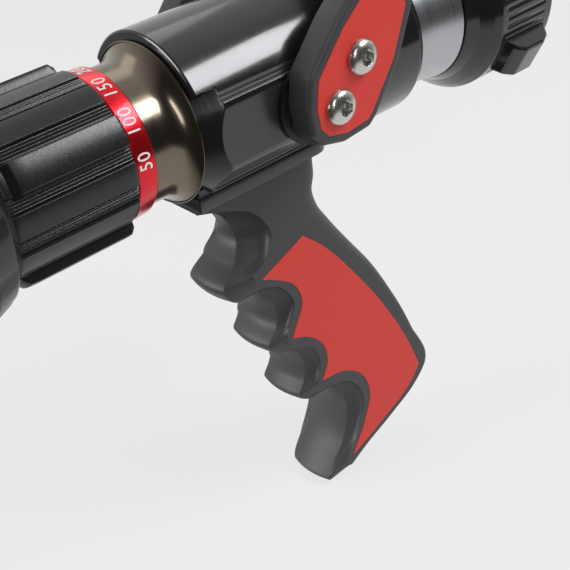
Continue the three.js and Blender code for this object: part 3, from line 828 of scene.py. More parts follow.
@dataclass
class ValveBody:
    """The body: a turned barrel milled flat on both sides, over a rail that carries the grip."""

    body_r: float = 26.6
    crown_front: float = 25.9
    rear: float = 84.0
    flat_y: float = 25.2
    flat_half_z: float = 9.7
    flat_start: float = 3.4
    flat_end: float = 64.0
    shoulder_end: float = 20.0
    bore_r: float = 19.5
    rail_half_y: float = 17.3
    rail_top: float = -18.9
    rail_bottom: float = -23.5
    rail_rear: float = 51.0
    spacing: float = 0.45

    def section(self) -> np.ndarray:
        """The milled section: an arc over the crown, then grooved band, flat, chamfer and belly.

        Returns:
            Its (y, z) points, the same on both sides.
        """
        crown_end = math.radians(31.7)
        sweep = np.linspace(math.pi - crown_end, crown_end, 90)
        crown = np.stack([self.body_r * np.cos(sweep), self.body_r * np.sin(sweep)], axis=1)
        side = rounded(
            [
                (22.63, 13.98, 0.0), (23.2, 13.0, 0.1), (23.0, 12.85, 0.1), (23.7, 11.75, 0.1),
                (23.5, 11.6, 0.1), (24.15, 10.6, 0.1), (24.0, 10.4, 0.1),
                (self.flat_y, self.flat_half_z, 0.22), (self.flat_y, -self.flat_half_z, 0.3),
                (19.6, -15.5, 0.25), (18.7, -15.7, 0.1), (18.5, -16.7, 0.1), (18.75, -17.1, 0.2),
                (18.0, -17.9, 0.2), (17.0, -18.0, 0.1), (16.9, -18.9, 0.0),
            ],
            steps=4,
            closed=False,
        )
        mirrored = side[::-1] * [-1, 1]
        loop = np.concatenate([crown, side[1:], mirrored[:-1]])
        return evenly(loop, self.spacing)

    def build(self) -> None:
        """Builds the body and the rail, and dresses the valve's inner pieces.

        At each station along the body a point of the section lies at the turned radius, or on the
        milled section where that is nearer the axis.
        """
        section = self.section()
        distance = np.linalg.norm(section, axis=1)
        heading = section / distance[:, None]
        outside = rounded(
            [
                (0.35, 20.4, 0.0), (0.42, 21.95, 0.0), (7.6, self.body_r, 1.2),
                (self.rear - 2.6, self.body_r, 1.2), (self.rear - 0.8, 25.8, 0.6),
                (self.rear, 24.5, 0.2), (self.rear, 21.0, 0.0),
            ],
            steps=6,
            closed=False,
        )
        cone = np.linspace(3.5, 9.5, 41)
        stations = np.concatenate(
            [
                outside[:, 0],
                [0.6, 0.95, 1.4, 2.4],
                cone,
                np.linspace(10, 80, 57),
                [self.flat_end - 0.02, self.flat_end + 0.02],
            ]
        )
        stations = np.unique(np.round(stations, 3))
        stations = stations[stations < self.rear - 0.001]
        reach = np.interp(stations, outside[:, 0], outside[:, 1])
        # The crown runs on to the front, with a small round edge; the sides run down to a cone.
        edge_x, edge_r = (0.35, 0.42, 0.6, 0.95), (20.4, self.crown_front, 26.3, self.body_r)
        full = np.maximum(np.interp(stations, edge_x, edge_r), reach)
        full = np.where(stations < self.shoulder_end, full, reach)
        low, high = math.sin(math.radians(31.0)), math.sin(math.radians(32.0))
        crown = smoothstep(heading[:, 1], low, high)
        radius = reach[:, None] + (full - reach)[:, None] * crown[None, :]
        milled = (stations > self.flat_start) & (stations < self.flat_end)
        radius = np.where(milled[:, None], np.minimum(radius, distance[None, :]), radius)
        last = np.full((1, len(section)), 24.5)
        bore = np.full((2, len(section)), self.bore_r)
        radius = np.concatenate([radius, last, bore])
        along = np.concatenate([stations, [self.rear], [self.rear, 0.35]])
        rows = np.concatenate(
            [
                np.broadcast_to(along[:, None, None], (*radius.shape, 1)),
                radius[..., None] * heading[None],
            ],
            axis=2,
        )
        front_spigot = rounded(
            [(-11.4, 12.8), (-11.4, 16.6), (0.9, 16.6), (0.9, 20.0), (20.8, 20.0), (20.8, 12.8)],
            radius=0.1,
            steps=2,
        )
        body = mesh_piece(
            "valve_body_casting", [Shell(rows, ring=True), turned(front_spigot, 128)], crease=21
        )
        dress(body, BLACK_TURNED, "nozzle_body", ["valve_body"])
        self.milled_faces(body)
        dress(self.rail(), BLACK_MILLED, "nozzle_body")
        self.dress_valve()

    def milled_faces(self, body: bpy.types.Object) -> None:
        """Gives the flats, bands and chamfers the milled finish.

        They are the faces between the flats' two ends, under the turned radius and below the crown,
        whose normal hardly leans along x, so that the cone at the front stays turned.

        Args:
            body: The body's object.
        """
        mesh = body.data
        mesh.materials.append(BLACK_MILLED.made())
        count = len(mesh.polygons)
        centre = np.empty(count * 3)
        mesh.polygons.foreach_get("center", centre)
        centre = centre.reshape(-1, 3) / MM + [INLET_FACE, 0, 0]
        away = np.hypot(centre[:, 1], centre[:, 2])
        milled = (centre[:, 0] > self.flat_start) & (centre[:, 0] < self.flat_end)
        normal = np.empty(count * 3)
        mesh.polygons.foreach_get("normal", normal)
        milled &= (away < self.body_r - 0.03) & (centre[:, 2] < 14.05) & (away > 20.1)
        milled &= np.abs(normal[::3]) < 0.1
        mesh.polygons.foreach_set("material_index", milled.astype(np.int32))

    def rail(self) -> bpy.types.Object:
        """The rail under the body: a plan with round rear corners, carried down with bevels.

        Returns:
            The rail.
        """
        plan = rounded(
            [
                (0.3, -self.rail_half_y, 0.5), (self.rail_rear, -self.rail_half_y, 6.5),
                (self.rail_rear, self.rail_half_y, 6.5), (0.3, self.rail_half_y, 0.5),
            ],
            steps=12,
        )
        plan = evenly(plan, 1.5)
        normal = outline_normals(plan)
        levels = [
            (-16.5, 0.6), (self.rail_top + 0.25, 0.6), (self.rail_top, 0.5),
            (self.rail_top - 0.12, 0.12), (self.rail_top - 0.4, 0.0), (self.rail_bottom + 0.7, 0.0),
            (self.rail_bottom + 0.25, 0.1), (self.rail_bottom + 0.02, 0.5),
        ]
        rows = [
            np.column_stack([plan - normal * inset, np.full(len(plan), height)])
            for height, inset in levels
        ]
        return mesh_piece("grip_rail", [Shell(np.array(rows))], crease=25)

    def dress_valve(self) -> None:
        """Dresses the ball, seats, seals and washers, whose own shapes are kept."""
        for node, finish in (
            ("ball", STAINLESS),
            ("front_seat", SEAT_PLASTIC),
            ("rear_seat", SEAT_PLASTIC),
            ("body_seal", SEAL_RUBBER),
            ("trunnion_left", STAINLESS),
            ("trunnion_right", STAINLESS),
            ("trunnion_seal_left", SEAL_RUBBER),
            ("trunnion_seal_right", SEAL_RUBBER),
            ("thrust_washer_left", SEAL_RUBBER),
            ("thrust_washer_right", SEAL_RUBBER),
        ):
            dress_node(node, finish)


# ---- Bail handle -------------------------------------------------------------------------------


@dataclass
class BailHandle:
    """The bail: two arms with red covers and button screws, joined by a bar with a rubber grip."""

    pivot_x: float = 38.7
    lean: float = math.radians(39.0)
    bar_height: float = 84.0
    inner_y: float = 26.8
    outer_y: float = 35.5
    arm: Pairs = (
        (1, -11.8, 3.0), (8.5, -8.2, 3.0), (15.8, -1.2, 2.5), (16.6, 2.6, 3.0), (16, 20, 12.0),
        (9, 46, 20.0), (9, 84, 9.0), (6, 93, 5.0), (-6, 93, 5.0), (-9, 84, 9.0), (-9, 46, 20.0),
        (-13.8, 20, 12.0), (-14.6, 3, 4.0), (-10.0, -5.2, 4.0), (-4.2, -10.8, 3.0),
    )
    cover: Pairs = (
        (1, -8.6, 1.2), (7.4, -5.4, 1.5), (13.3, 0.5, 1.3), (13.7, 3.2, 1.2), (13, 19, 6.0),
        (8.6, 34, 1.5), (-7.6, 34, 1.5), (-10.8, 19, 6.0), (-11.6, 3.6, 2.0), (-8.0, -3.2, 1.5),
        (-3.2, -7.8, 1.2),
    )
    screws: tuple[tuple[str, float], ...] = (("pivot", 0.0), ("upper", 14.8))
    head_r: float = 5.25
    head_rise: float = 2.78
    socket_half: float = 2.0
    bar_grip_r: float = 9.55

    def placed(self, shell: Shell) -> Shell:
        """Turns a shell from the bail's upright frame to its rest place on the nozzle.

        Args:
            shell: The shell, with the pivot at its origin.

        Returns:
            The shell, leant rearwards about the pivot.
        """
        cos, sin = math.cos(self.lean), math.sin(self.lean)
        x, y, z = shell.rows[..., 0], shell.rows[..., 1], shell.rows[..., 2]
        rows = np.stack([self.pivot_x + x * cos + z * sin, y, z * cos - x * sin], axis=-1)
        return Shell(rows, shell.ring)

    def build(self) -> None:
        """Builds both arms with what they carry, then the bar and its grip."""
        for name, side in SIDES:
            self.build_arm(name, side)
            self.build_cover(name, side)
            for place, height in self.screws:
                self.build_screw(place, name, side, height)
        self.build_bar()

    def build_arm(self, name: str, side: int) -> None:
        """One arm: its outline carried outwards, with a broad rounded bevel.

        Args:
            name: The side's name.
            side: The side's sign.
        """
        outline = evenly(rounded(self.arm, steps=8), 1.2)
        quarter = np.linspace(0, math.pi / 2, 8)
        bevel = 1.7
        levels = [(self.inner_y, 0.6), (self.inner_y + 0.15, 0.15), (self.inner_y + 0.6, 0.0)]
        levels += [
            (self.outer_y - bevel + bevel * math.sin(a), bevel * 0.9 * (1 - math.cos(a)))
            for a in quarter
        ]
        levels = [(side * y, inset) for y, inset in levels]
        arm = mesh_piece(f"arm_{name}", [self.placed(plate(outline, levels))], crease=50)
        dress(arm, GREY_NYLON, "bail", [f"bail_arm_{name}"])

    def build_cover(self, name: str, side: int) -> None:
        """One red cover: a thin plate that stands a hair proud of the arm, with a soft edge.

        Args:
            name: The side's name.
            side: The side's sign.
        """
        outline = evenly(rounded(self.cover, steps=6), 1.2)
        steps = ((-0.6, 0.0), (0.04, 0.0), (0.14, 0.05), (0.2, 0.16))
        levels = [(side * (self.outer_y + proud), inset) for proud, inset in steps]
        cover = mesh_piece(f"cover_{name}", [self.placed(plate(outline, levels))], crease=40)
        dress(cover, RED_NYLON, "bail", [f"bail_cover_{name}"])

    def build_screw(self, place: str, name: str, side: int, height: float) -> None:
        """One button-head screw: a dome turned about y, whose middle loops become a hexagon socket.

        The dome's height over the seat is an elliptic cap of the radius. The socket's loops have
        the radius of a hexagon, a / cos(angle from the nearest flat's middle).

        Args:
            place: Which screw on the arm.
            name: The side's name.
            side: The side's sign.
            height: Its place up the arm.
        """
        turn = np.linspace(0, TAU, 96, endpoint=False)
        flat = self.socket_half / np.cos(turn % (math.pi / 3) - math.pi / 6)
        seat = self.outer_y + 0.22
        circle = np.ones(96)
        dome_r = np.array([self.head_r, self.head_r, 5.1, 4.7, 4.2, 3.6, 3.0, 2.6])
        cap = self.head_rise * np.sqrt(np.maximum(0, 1 - (dome_r / self.head_r) ** 2)) ** 0.9
        cap[0] = -0.5
        loops = [(r * circle, seat + 0.25 + c) for r, c in zip(dome_r, cap)]
        top = seat + 0.25 + self.head_rise * 0.93
        loops += [(flat * 1.08, top), (flat, top - 0.14)]
        loops += [(flat * 0.99, top - 1.9), (0.4 * flat, top - 2.2)]
        tip = 29.0 if height else 27.2
        loops = [(0.4 * flat, tip), (2.7 * circle, tip), (2.7 * circle, seat - 0.4)] + loops
        rows = [
            np.stack([r * np.cos(turn), np.full(96, side * y), height + r * np.sin(turn)], axis=1)
            for r, y in loops
        ]
        shell = self.placed(Shell(np.array(rows)))
        screw = mesh_piece(f"{place}_button_screw_{name}", [shell], crease=38)
        dress(screw, STAINLESS, "bail", [f"{place}_screw_{name}"])

    def build_bar(self) -> None:
        """The bar, and its grip with shallow moulded rings."""
        bar = rounded(
            [(-33, 0.0), (-33, 5.95, 0.5), (33, 5.95, 0.5), (33, 0.0)], closed=False, steps=3
        )
        dress(self.about_bar("bail_rod", bar, False), STAINLESS, "bail", ["bail_bar"])
        along = np.linspace(-25.9, 25.9, 240)
        barrel = self.bar_grip_r - 0.9 * smoothstep(np.abs(along), 23.6, 26.2) ** 2
        rings = 0.35 * (0.5 + 0.5 * np.cos(TAU * along / 4.0)) ** 4 * (np.abs(along) < 23)
        outside = np.stack([along, barrel - rings + 0.2], axis=1)
        ends = np.array([[26.3, 8.4], [26.3, 6.4], [-26.3, 6.4], [-26.3, 8.4]])
        profile = np.concatenate([outside, ends])
        grip = self.about_bar("bail_hand_grip", profile, True)
        dress(grip, BLACK_RUBBER, "bail", ["bail_bar_grip"])

    def about_bar(self, name: str, profile: np.ndarray, ring: bool) -> bpy.types.Object:
        """A profile turned about the bar's axis: (r sin a, y, bar height + r cos a).

        Args:
            name: The piece's name.
            profile: The (y, radius) points.
            ring: Whether the profile is closed.

        Returns:
            The piece.
        """
        angle = np.linspace(0, TAU, 96, endpoint=False)[None, :]
        y, radius = profile[:, :1], profile[:, 1:]
        height = self.bar_height + radius * np.cos(angle)
        rows = np.stack([radius * np.sin(angle), y + 0 * angle, height], axis=-1)
        return mesh_piece(name, [self.placed(Shell(rows, ring))], crease=35)


# ---- Inlet -------------------------------------------------------------------------------------


@dataclass
class Inlet:
    """The silver neck and the black swivel coupling with its gasket and strainer."""

    neck_rear: float = 104.3
    coupling_r: float = 31.0
    rocker_lugs: int = 3

    def build(self) -> None:
        """Builds the neck, the coupling and its gasket."""
        neck = rounded(
            [
                (60, 13.3), (60, 20.4), (84.4, 20.4), (84.4, 22.0, 0.3), (95, 22.7, 2.0),
                (100, 23.3, 2.0), (self.neck_rear - 0.5, 24.0, 0.3),
                (self.neck_rear - 0.1, 23.6, 0.2), (self.neck_rear - 0.1, 21.2), (121.8, 21.2, 0.3),
                (121.8, 18.7, 0.3), (80, 14.5),
            ],
            steps=5,
        )
        tube = mesh_piece("silver_neck", [turned(neck, 192)], crease=26)
        dress(tube, SILVER, "nozzle_body", ["inlet_adapter"])
        front = self.neck_rear + 0.3
        ring = rounded(
            [
                (front, 21.9, 0.2), (front, 24.2, 0.4), (108.5, 26.2, 2.0), (112, 29.4, 2.0),
                (114.2, self.coupling_r, 1.2), (138.4, self.coupling_r, 0.8), (139.95, 29.5, 0.4),
                (139.95, 25.9, 0.3), (138.9, 25.45, 0.2), (121.8, 25.45), (121.8, 21.9),
            ],
            steps=6,
        )
        angle = np.linspace(0, 360, 720, endpoint=False)[None, :]
        profile = self.with_stations(ring, np.linspace(114, 139, 51))
        grooves = 0.35 * (np.abs(np.sin(np.radians(angle) * 30)) ** 6)
        x, reach = profile.T
        knurled = smoothstep(x, 116, 117) * (1 - smoothstep(x, 134.5, 135.5)) * (reach > 29.8)
        radius = reach[:, None] - grooves * knurled[:, None]
        shells = [ribbed(x, radius, ring=True), *self.lugs()]
        coupling = mesh_piece("swivel_coupling", shells, crease=30)
        dress(coupling, BLACK_TURNED, "coupling", ["coupling_ring"])
        gasket = rounded(
            [(122.45, 18.5), (122.45, 25.05), (125.35, 25.05), (125.35, 18.5)], radius=0.5
        )
        seal = mesh_piece("hose_gasket", [turned(gasket, 128)])
        dress(seal, SEAL_RUBBER, "coupling", ["coupling_gasket"])
        dress_node("adapter_seal", SEAL_RUBBER)
        dress_node("swivel_wire", STAINLESS)
        dress_node("inlet_strainer", STAINLESS)

    def with_stations(self, profile: np.ndarray, x: np.ndarray) -> np.ndarray:
        """Splits the profile's long outer side at more places.

        Args:
            profile: The (x, radius) points.
            x: Places along the waterway. Those beyond the side's ends are left out.

        Returns:
            The profile with the added points.
        """
        flat = np.flatnonzero((np.abs(np.diff(profile[:, 1])) < 1e-6) & (profile[:-1, 1] > 30))
        at = int(flat[np.argmax(np.diff(profile[:, 0])[flat])])
        inside = x[(x > profile[at, 0] + 0.2) & (x < profile[at + 1, 0] - 0.2)]
        added = np.stack([inside, np.full(len(inside), profile[at, 1])], axis=1)
        return np.concatenate([profile[: at + 1], added, profile[at + 1 :]])

    def lugs(self) -> list[Shell]:
        """The rocker lugs: a side outline carried across with rounded edges, then turned round.

        Returns:
            One closed surface for each lug.
        """
        side = rounded(
            [
                (117, 29.5), (118.5, 34, 2.5), (122, 36.4, 2),
                (130, 36.4, 2), (134, 34.4, 2.5), (136, 29.5),
            ],
            steps=5,
        )
        normal = outline_normals(side)
        levels = [(-6.4, 0.9), (-6.1, 0.35), (-5.5, 0.0), (5.5, 0.0), (6.1, 0.35), (6.4, 0.9)]
        shells = []
        for i in range(self.rocker_lugs):
            turn = i * TAU / self.rocker_lugs
            rows = []
            for across, inset in levels:
                flat = side - normal * inset
                y = across * math.cos(turn) - flat[:, 1] * math.sin(turn)
                z = across * math.sin(turn) + flat[:, 1] * math.cos(turn)
                rows.append(np.stack([flat[:, 0], y, z], axis=1))
            shells.append(Shell(np.array(rows)))
        return shells


# ---- Pistol grip -------------------------------------------------------------------------------


@dataclass
class PistolGrip:
    """The grip: flat sides that draw together forwards, scooped finger hollows and a crowned spine.

    Each front point gives the side outline's (x, z), the spine's (x, z), the spine's half width and
    how far the scoop between them sinks.
    """

    top: float = -23.8
    crown: float = 1.6
    taper: tuple[float, float, float] = (12.3, 0.0714, 0.0229)
    front: Pairs = (
        (2.6, -26.5, 2.6, -26.5, 8.0, 0.0), (12.5, -29.5, 9.5, -30.5, 6.6, 0.6),
        (22.0, -34.5, 18.0, -38.0, 3.4, 2.2), (27.2, -43.9, 20.2, -46.3, 4.4, 3.2),
        (25.1, -50.3, 16.3, -52.0, 7.0, 2.6), (19.2, -56.3, 10.2, -59.2, 8.3, 0.4),
        (19.9, -58.9, 12.4, -62.7, 8.8, 0.0), (29.0, -64.4, 22.9, -64.8, 8.6, 1.4),
        (33.2, -72.9, 28.6, -73.0, 8.5, 2.3), (30.6, -79.4, 28.5, -80.0, 8.6, 1.6),
        (29.2, -84.2, 23.9, -86.8, 8.8, 0.2), (30.0, -87.9, 26.6, -90.2, 8.7, 0.0),
        (38.9, -93.2, 34.3, -93.2, 8.6, 1.3), (41.4, -101.9, 37.8, -101.5, 8.6, 1.9),
        (40.2, -106.8, 36.8, -107.4, 8.8, 1.1), (40.6, -109.4, 33.9, -112.4, 8.9, 0.1),
        (43.8, -111.6, 37.4, -115.6, 8.8, 0.0), (53.4, -115.0, 48.5, -116.8, 8.6, 1.2),
        (59.0, -125.6, 54.4, -127.0, 8.6, 1.9), (55.8, -138.1, 52.4, -140.0, 9.0, 1.2),
        (49.6, -149.7, 42.6, -154.4, 8.8, -0.9),
    )
    rear: Pairs = (
        (54.3, -152.2), (60.0, -148.2), (74.4, -139.9), (85.4, -132.5), (90.5, -125.8),
        (84.4, -107.3), (76.4, -88.8), (68.7, -73.7), (60.9, -62.0), (53.7, -50.9), (49.3, -43.0),
        (47.9, -36.8), (49.0, -31.5), (49.0, -27.5),
    )
    inlay: tuple[Pairs, ...] = (
        ((21.9, -57.9), (27.5, -60.7), (34.0, -65.9), (36.1, -73.4), (33.5, -79.8), (30.9, -85.1)),
        ((30.9, -85.1), (36.6, -87.3), (42.7, -93.1), (44.3, -100.7), (41.5, -108.2)),
        (
            (41.5, -108.2), (49.8, -108.9), (57.8, -114.0),
            (61.6, -124.1), (59.2, -134.2), (52.1, -148.3),
        ),
        ((52.1, -148.3), (65.3, -141.1), (81.2, -130.2), (85.0, -124.7)),
        (
            (85.0, -124.7), (80.6, -113.0), (70.3, -92.0),
            (58.2, -72.8), (45.0, -55.5), (38.7, -49.6),
        ),
    )

    def half_width(self, x: np.ndarray, z: np.ndarray) -> np.ndarray:
        """The flat side's distance from the middle, a plane over x and z."""
        start, along_x, along_z = self.taper
        return start + along_x * x + along_z * z

    def build(self) -> None:
        """Builds the grip and its two inlays."""
        self.build_body()
        for name, side in SIDES:
            self.build_inlay(name, side)
        dress_node("grip_screw_front", STAINLESS)
        dress_node("grip_screw_rear", STAINLESS)

    def front_part(self, line: np.ndarray, share: float, inset: float, drop: float) -> np.ndarray:
        """The front of one loop: ruled from side outline to spine edge, then over the crown.

        With s as the share, x gains 4 s (1 - s) times the scoop's depth. Over the spine the surface
        rises as a parabola of the way across, by the crown times the square of the half width.

        Args:
            line: The sampled front values.
            share: 0 at the side outline, 1 at the spine's edge, 2 in the middle.
            inset: How far it moves in from the side outline, for the edge's rounding.
            drop: How far it moves in from the flat side.

        Returns:
            The points, from the top downwards.
        """
        scoop, over = min(share, 1.0), max(share - 1.0, 0.0)
        side_x, side_z, spine_x, spine_z, spine_y, sink = line.T
        x = side_x + (spine_x - side_x) * scoop + sink * 4 * scoop * (1 - scoop)
        z = side_z + (spine_z - side_z) * scoop
        away = np.stack([x, z], axis=1)
        away = away + inset * outline_normals(away)
        x, z = away[:, 0], np.minimum(away[:, 1], self.top - 1.0)
        y = self.half_width(side_x, side_z) * (1 - scoop) + spine_y * scoop - drop
        crown = self.crown * (spine_y / 9.0) ** 2 * smoothstep(np.arange(len(x)), 0, 14)
        return np.stack([x - crown * (1 - (1 - over) ** 2), y * (1 - over), z], axis=1)

    def rear_part(self, rear: np.ndarray, across: float) -> np.ndarray:
        """The rear of one loop: a superellipse of the way across, fuller at the neck.

        Args:
            rear: The sampled rear outline, in the middle of the grip.
            across: 0 at the flat side and 1 in the middle.

        Returns:
            The points, from the bottom upwards.
        """
        bend = across * math.pi / 2
        neck = smoothstep(rear[:, 1], -100, -45)
        pull = 3.4 + 5.2 * neck
        x = rear[:, 0] - pull * (1 - math.sin(bend) ** 0.72)
        y = self.half_width(x, rear[:, 1]) * max(math.cos(bend), 0.0) ** 0.66
        return np.stack([x, y, rear[:, 1]], axis=1)

    def row(self, line: np.ndarray, rear: np.ndarray, step: Sequence[float]) -> np.ndarray:
        """One closed loop of the half grip on +y: front, rounded foot, rear and top.

        The foot is the curve (1-t)^2 A + 2t(1-t) C + t^2 B from the front's end A to the rear's
        start B, where C lies under A, lower towards the middle of the grip.

        Args:
            line: The sampled front values.
            rear: The sampled rear outline.
            step: The front's share, the rear's way across, and the front's inset and drop.

        Returns:
            The loop's points.
        """
        share, across, inset, drop = step
        before = self.front_part(line, share, inset, drop)
        behind = self.rear_part(rear, across)
        scoop = min(share, 1.0)
        a, b = before[-1], behind[0]
        under = a + np.array([1.4 - 1.8 * scoop, 0.0, -1.6 - 3.8 * scoop])
        t = np.linspace(0, 1, 12)[1:-1, None]
        foot = (1 - t) ** 2 * a + 2 * t * (1 - t) * under + t**2 * b
        top = np.stack([behind[-1], before[0]])
        top[:, 2] = self.top
        return np.concatenate([before, foot, behind, top])

    def build_body(self) -> None:
        """The grip's skin: loops from one flat side, over scoop, spine and back, to the other."""
        line = spline(self.front, 12)
        rear = spline(self.rear, 8)
        half = [(0.0, 0.0, 0.0, 0.0), (0.0, 0.01, 0.07, 0.04)]
        half += [(0.01, 0.025, 0.1, 0.16), (0.03, 0.045, 0.08, 0.3)]
        half += [(s, 0.05 + 0.55 * s, 0.0, 0.36 * (1 - s)) for s in np.linspace(0.07, 1.0, 16)]
        half += [(1.0 + s, 0.6 + 0.4 * s, 0.0, 0.0) for s in np.linspace(0.07, 1.0, 12)]
        rows = [self.row(line, rear, step) for step in half]
        near = [loop * [1, -1, 1] for loop in rows]
        skin = Shell(np.array(near + rows[::-1][1:]))
        grip = mesh_piece("pistol_grip_moulding", [skin], crease=24)
        dress(grip, GREY_NYLON, "nozzle_body", ["pistol_grip"])

    def build_inlay(self, name: str, side: int) -> None:
        """One red inlay: a scalloped plate on the tapering side, a hair proud with a soft edge.

        Args:
            name: The side's name.
            side: The side's sign.
        """
        parts = [spline(part, 8)[:-1] for part in self.inlay]
        outline = evenly(np.concatenate([*parts, [self.inlay[-1][-1]]]), 2.0)
        normal = outline_normals(outline)
        rows = []
        for height, inset in ((-0.4, 0.0), (0.05, 0.0), (0.12, 0.05), (0.16, 0.16)):
            flat = outline - normal * inset
            y = side * (self.half_width(flat[:, 0], flat[:, 1]) + height)
            rows.append(np.stack([flat[:, 0], y, flat[:, 1]], axis=1))
        inlay = mesh_piece(f"grip_inlay_{name}", [Shell(np.array(rows))], crease=50)
        dress(inlay, RED_NYLON, "nozzle_body", [f"grip_panel_{name}"])


# ---- Studio ------------------------------------------------------------------------------------


@dataclass(frozen=True)
class Softbox:
    """A soft lamp at a heading seen from the object, in degrees, with its sides and brightness.

    Attributes:
        name: Its name.
        azimuth: Its heading from +x towards +y.
        elevation: Its height over the horizon.
        width: Its width in degrees, as seen from the object.
        height: Its height in degrees.
        brightness: Its face's brightness, where 1 is paper white.
        colour: Its light's colour.
    """

    name: str
    azimuth: float
    elevation: float
    width: float
    height: float
    brightness: float
    colour: str = "#ffffff"

    def light(self, middle: np.ndarray, distance: float) -> None:
        """Puts the lamp into the scene.

        Args:
            middle: The point that it looks at, in metres.
            distance: How far off it stands, in metres.
        """
        a, e = math.radians(self.azimuth), math.radians(self.elevation)
        back = np.array([math.cos(a) * math.cos(e), math.sin(a) * math.cos(e), math.sin(e)])
        right = np.array([-math.sin(a), math.cos(a), 0.0])
        lamp = bpy.data.lights.new(self.name, "AREA")
        lamp.shape = "RECTANGLE"
        lamp.size = 2 * distance * math.tan(math.radians(self.width) / 2)
        lamp.size_y = 2 * distance * math.tan(math.radians(self.height) / 2)
        # A lamp of power P and area A has a face of brightness P / (pi A).
        lamp.energy = self.brightness * math.pi * lamp.size * lamp.size_y
        lamp.color = linear(self.colour)[:3]
        holder = bpy.data.objects.new(self.name, lamp)
        bpy.context.scene.collection.objects.link(holder)
        matrix = np.eye(4)
        matrix[:3, 0], matrix[:3, 1], matrix[:3, 2] = right, np.cross(back, right), back
        matrix[:3, 3] = middle + back * distance
        holder.matrix_world = Matrix(matrix.tolist())


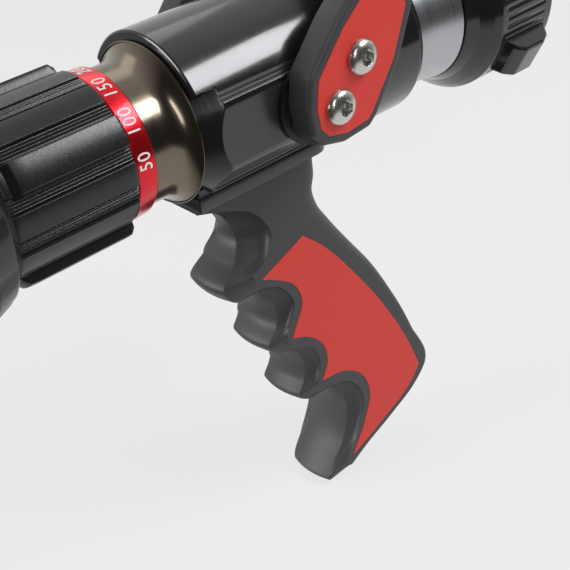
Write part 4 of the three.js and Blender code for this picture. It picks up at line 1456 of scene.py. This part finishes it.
@dataclass
class Studio:
    """Camera, pale floor, pale backdrop behind the object, darker room in front, and softboxes."""

    azimuth: float = math.radians(-38.54)
    elevation: float = math.radians(32.95)
    roll: float = math.radians(-6.82)
    lens: float = 78.3
    camera_place: tuple[float, float, float] = (-0.3113, -0.2660, 0.1458)
    backdrop: str = "#ebebeb"
    ambient: float = 0.28
    room: float = 0.07
    backdrop_rise: float = 0.35  # how far the backdrop's middle lies over the horizon, as a slope
    backdrop_fade: tuple[float, float] = (-0.1, 0.75)  # from the dark room to the backdrop
    paper: str = "#dcdcdc"
    paper_shown: str = "#f3f3f3"
    shown_share: float = 0.8
    floor_unlit: tuple[float, float] = (-0.24, -0.15)  # x where the floor goes from unlit to lit, m
    floor_gap: float = 0.002
    floor_reach: float = 0.56
    floor_shift: tuple[float, float, float] = (0.3, 0.05, 0.0)
    middle: tuple[float, float, float] = (-0.13, 0.0, -0.02)
    distance: float = 0.9
    softboxes: tuple[Softbox, ...] = (
        Softbox("key_softbox", -43.0, 44.0, 26.0, 18.0, 13.0, "#fbfcff"),
        Softbox("side_strip", -118.0, 27.0, 5.5, 33.0, 9.0),
        Softbox("front_softbox", 156.0, 12.0, 40.0, 22.0, 8.5),
        Softbox("rear_softbox", 70.0, 48.0, 40.0, 24.0, 1.1),
    )

    def build(self) -> None:
        """Sets up the whole studio."""
        scene = bpy.context.scene
        scene.view_settings.view_transform = "Standard"
        self.build_camera(scene)
        self.build_world(scene)
        self.build_floor(scene)
        for softbox in self.softboxes:
            softbox.light(np.array(self.middle), self.distance)

    def build_camera(self, scene: bpy.types.Scene) -> None:
        """The camera, from its azimuth, elevation and roll.

        Args:
            scene: The scene that gets the camera.
        """
        a, e, r = self.azimuth, self.elevation, self.roll
        back = np.array([math.sin(a) * math.cos(e), -math.cos(a) * math.cos(e), math.sin(e)])
        level = np.array([math.cos(a), math.sin(a), 0.0])
        up = np.cross(back, level)
        matrix = np.eye(4)
        matrix[:3, 0] = math.cos(r) * level + math.sin(r) * up
        matrix[:3, 1] = math.cos(r) * up - math.sin(r) * level
        matrix[:3, 2] = back
        matrix[:3, 3] = self.camera_place
        camera = bpy.data.cameras.new("camera")
        camera.lens = self.lens
        camera.sensor_width = 36.0
        camera.clip_start = 0.01
        holder = bpy.data.objects.new("camera", camera)
        holder.matrix_world = Matrix(matrix.tolist())
        scene.collection.objects.link(holder)
        scene.camera = holder

    def build_world(self, scene: bpy.types.Scene) -> None:
        """The room: an even light, and the backdrop's grey to the rays that show it.

        A reflected ray sees the backdrop where its heading is towards the backdrop's side, fading
        to the dark room in front by the dot product of the two headings.

        Args:
            scene: The scene that gets the room.
        """
        world = bpy.data.worlds.new("studio")
        world.use_nodes = True
        scene.world = world
        tree = world.node_tree
        tree.nodes.clear()
        rays = add_node(tree, "ShaderNodeLightPath")
        heading = add_node(tree, "ShaderNodeTexCoord").outputs["Generated"]
        behind = (-math.sin(self.azimuth), math.cos(self.azimuth), self.backdrop_rise)
        dot = {"operation": "DOT_PRODUCT", 1: behind}
        towards = add_node(tree, "ShaderNodeVectorMath", dot, {0: heading}).outputs["Value"]
        fade = dict(zip(RANGE, (*self.backdrop_fade, self.room, 1.0)))
        reflected = add_node(tree, "ShaderNodeMapRange", fade, {"Value": towards})
        either = {0: rays.outputs["Is Camera Ray"], 1: rays.outputs["Is Transmission Ray"]}
        seen = add_node(tree, "ShaderNodeMath", {"operation": "MAXIMUM"}, either).outputs[0]
        glossy = {0: rays.outputs["Is Glossy Ray"], 3: reflected.outputs["Result"]}
        strength = add_node(tree, "ShaderNodeMix", {2: self.ambient}, glossy)
        shown = add_node(tree, "ShaderNodeMix", {3: 1.0}, {0: seen, 2: strength.outputs[0]})
        colour = {"Color": linear(self.backdrop)}
        room = add_node(tree, "ShaderNodeBackground", colour, {"Strength": shown.outputs[0]})
        add_node(tree, "ShaderNodeOutputWorld", None, {"Surface": room.outputs[0]})

    def build_floor(self, scene: bpy.types.Scene) -> None:
        """A round pale floor just under the grip, which takes the object's shadow.

        Args:
            scene: The scene that gets the floor.
        """
        low = min(CAD_BOX[0][2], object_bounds()[0][2]) - self.floor_gap
        turn = np.linspace(0, TAU, 96, endpoint=False)
        rim = np.stack([np.cos(turn), np.sin(turn), 0 * turn], axis=1) * self.floor_reach
        rim += [self.middle[0], self.middle[1], low]
        rim += self.floor_shift
        mesh = bpy.data.meshes.new("floor")
        mesh.from_pydata(rim.tolist(), [], [list(range(len(rim)))])
        floor = bpy.data.objects.new("floor", mesh)
        scene.collection.objects.link(floor)
        mesh.materials.append(self.floor_material())
        floor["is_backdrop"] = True

    def floor_material(self) -> bpy.types.Material:
        """Matt paper, mostly glowing at its own grey to the rays that show it.

        Reflected rays see a dark room on the floor's front side, where no paper is lit.

        Returns:
            The material.
        """
        material = bpy.data.materials.new("matt_pale_paper")
        material.use_nodes = True
        tree = material.node_tree
        tree.nodes.clear()
        rays = add_node(tree, "ShaderNodeLightPath")
        glossy = rays.outputs["Is Glossy Ray"]
        either = {0: rays.outputs["Is Camera Ray"], 1: glossy}
        seen = add_node(tree, "ShaderNodeMath", {"operation": "MAXIMUM"}, either).outputs[0]
        part = {"operation": "MULTIPLY", 1: self.shown_share}
        share = add_node(tree, "ShaderNodeMath", part, {0: seen}).outputs[0]
        paper = add_node(tree, "ShaderNodeBsdfDiffuse", {"Color": linear(self.paper)}).outputs[0]
        bright = {"Color": linear(self.paper_shown), "Strength": 1.0}
        glow = add_node(tree, "ShaderNodeEmission", bright).outputs[0]
        mixed = add_node(tree, "ShaderNodeMixShader", None, {0: share, 1: paper, 2: glow})
        spot = add_node(tree, "ShaderNodeTexCoord").outputs["Object"]
        place = add_node(tree, "ShaderNodeSeparateXYZ", None, {0: spot})
        edge = dict(zip(RANGE, (*self.floor_unlit, 1.0, 0.0)))
        unlit = add_node(tree, "ShaderNodeMapRange", edge, {"Value": place.outputs["X"]})
        both = {0: glossy, 1: unlit.outputs["Result"]}
        hidden = add_node(tree, "ShaderNodeMath", {"operation": "MULTIPLY"}, both).outputs[0]
        dim = {"Color": linear(self.backdrop), "Strength": self.room}
        dark = add_node(tree, "ShaderNodeEmission", dim).outputs[0]
        sides = {0: hidden, 1: mixed.outputs[0], 2: dark}
        shown = add_node(tree, "ShaderNodeMixShader", None, sides)
        add_node(tree, "ShaderNodeOutputMaterial", None, {"Surface": shown.outputs[0]})
        return material


def main() -> None:
    """Builds the studio and every part of the nozzle."""
    logging.basicConfig(level=logging.INFO, format="%(name)s: %(message)s")
    Studio().build()
    for part in (FrontEnd(), ValveBody(), BailHandle(), Inlet(), PistolGrip()):
        LOG.info("building %s", type(part).__name__)
        part.build()


if __name__ == "__main__":
    main()
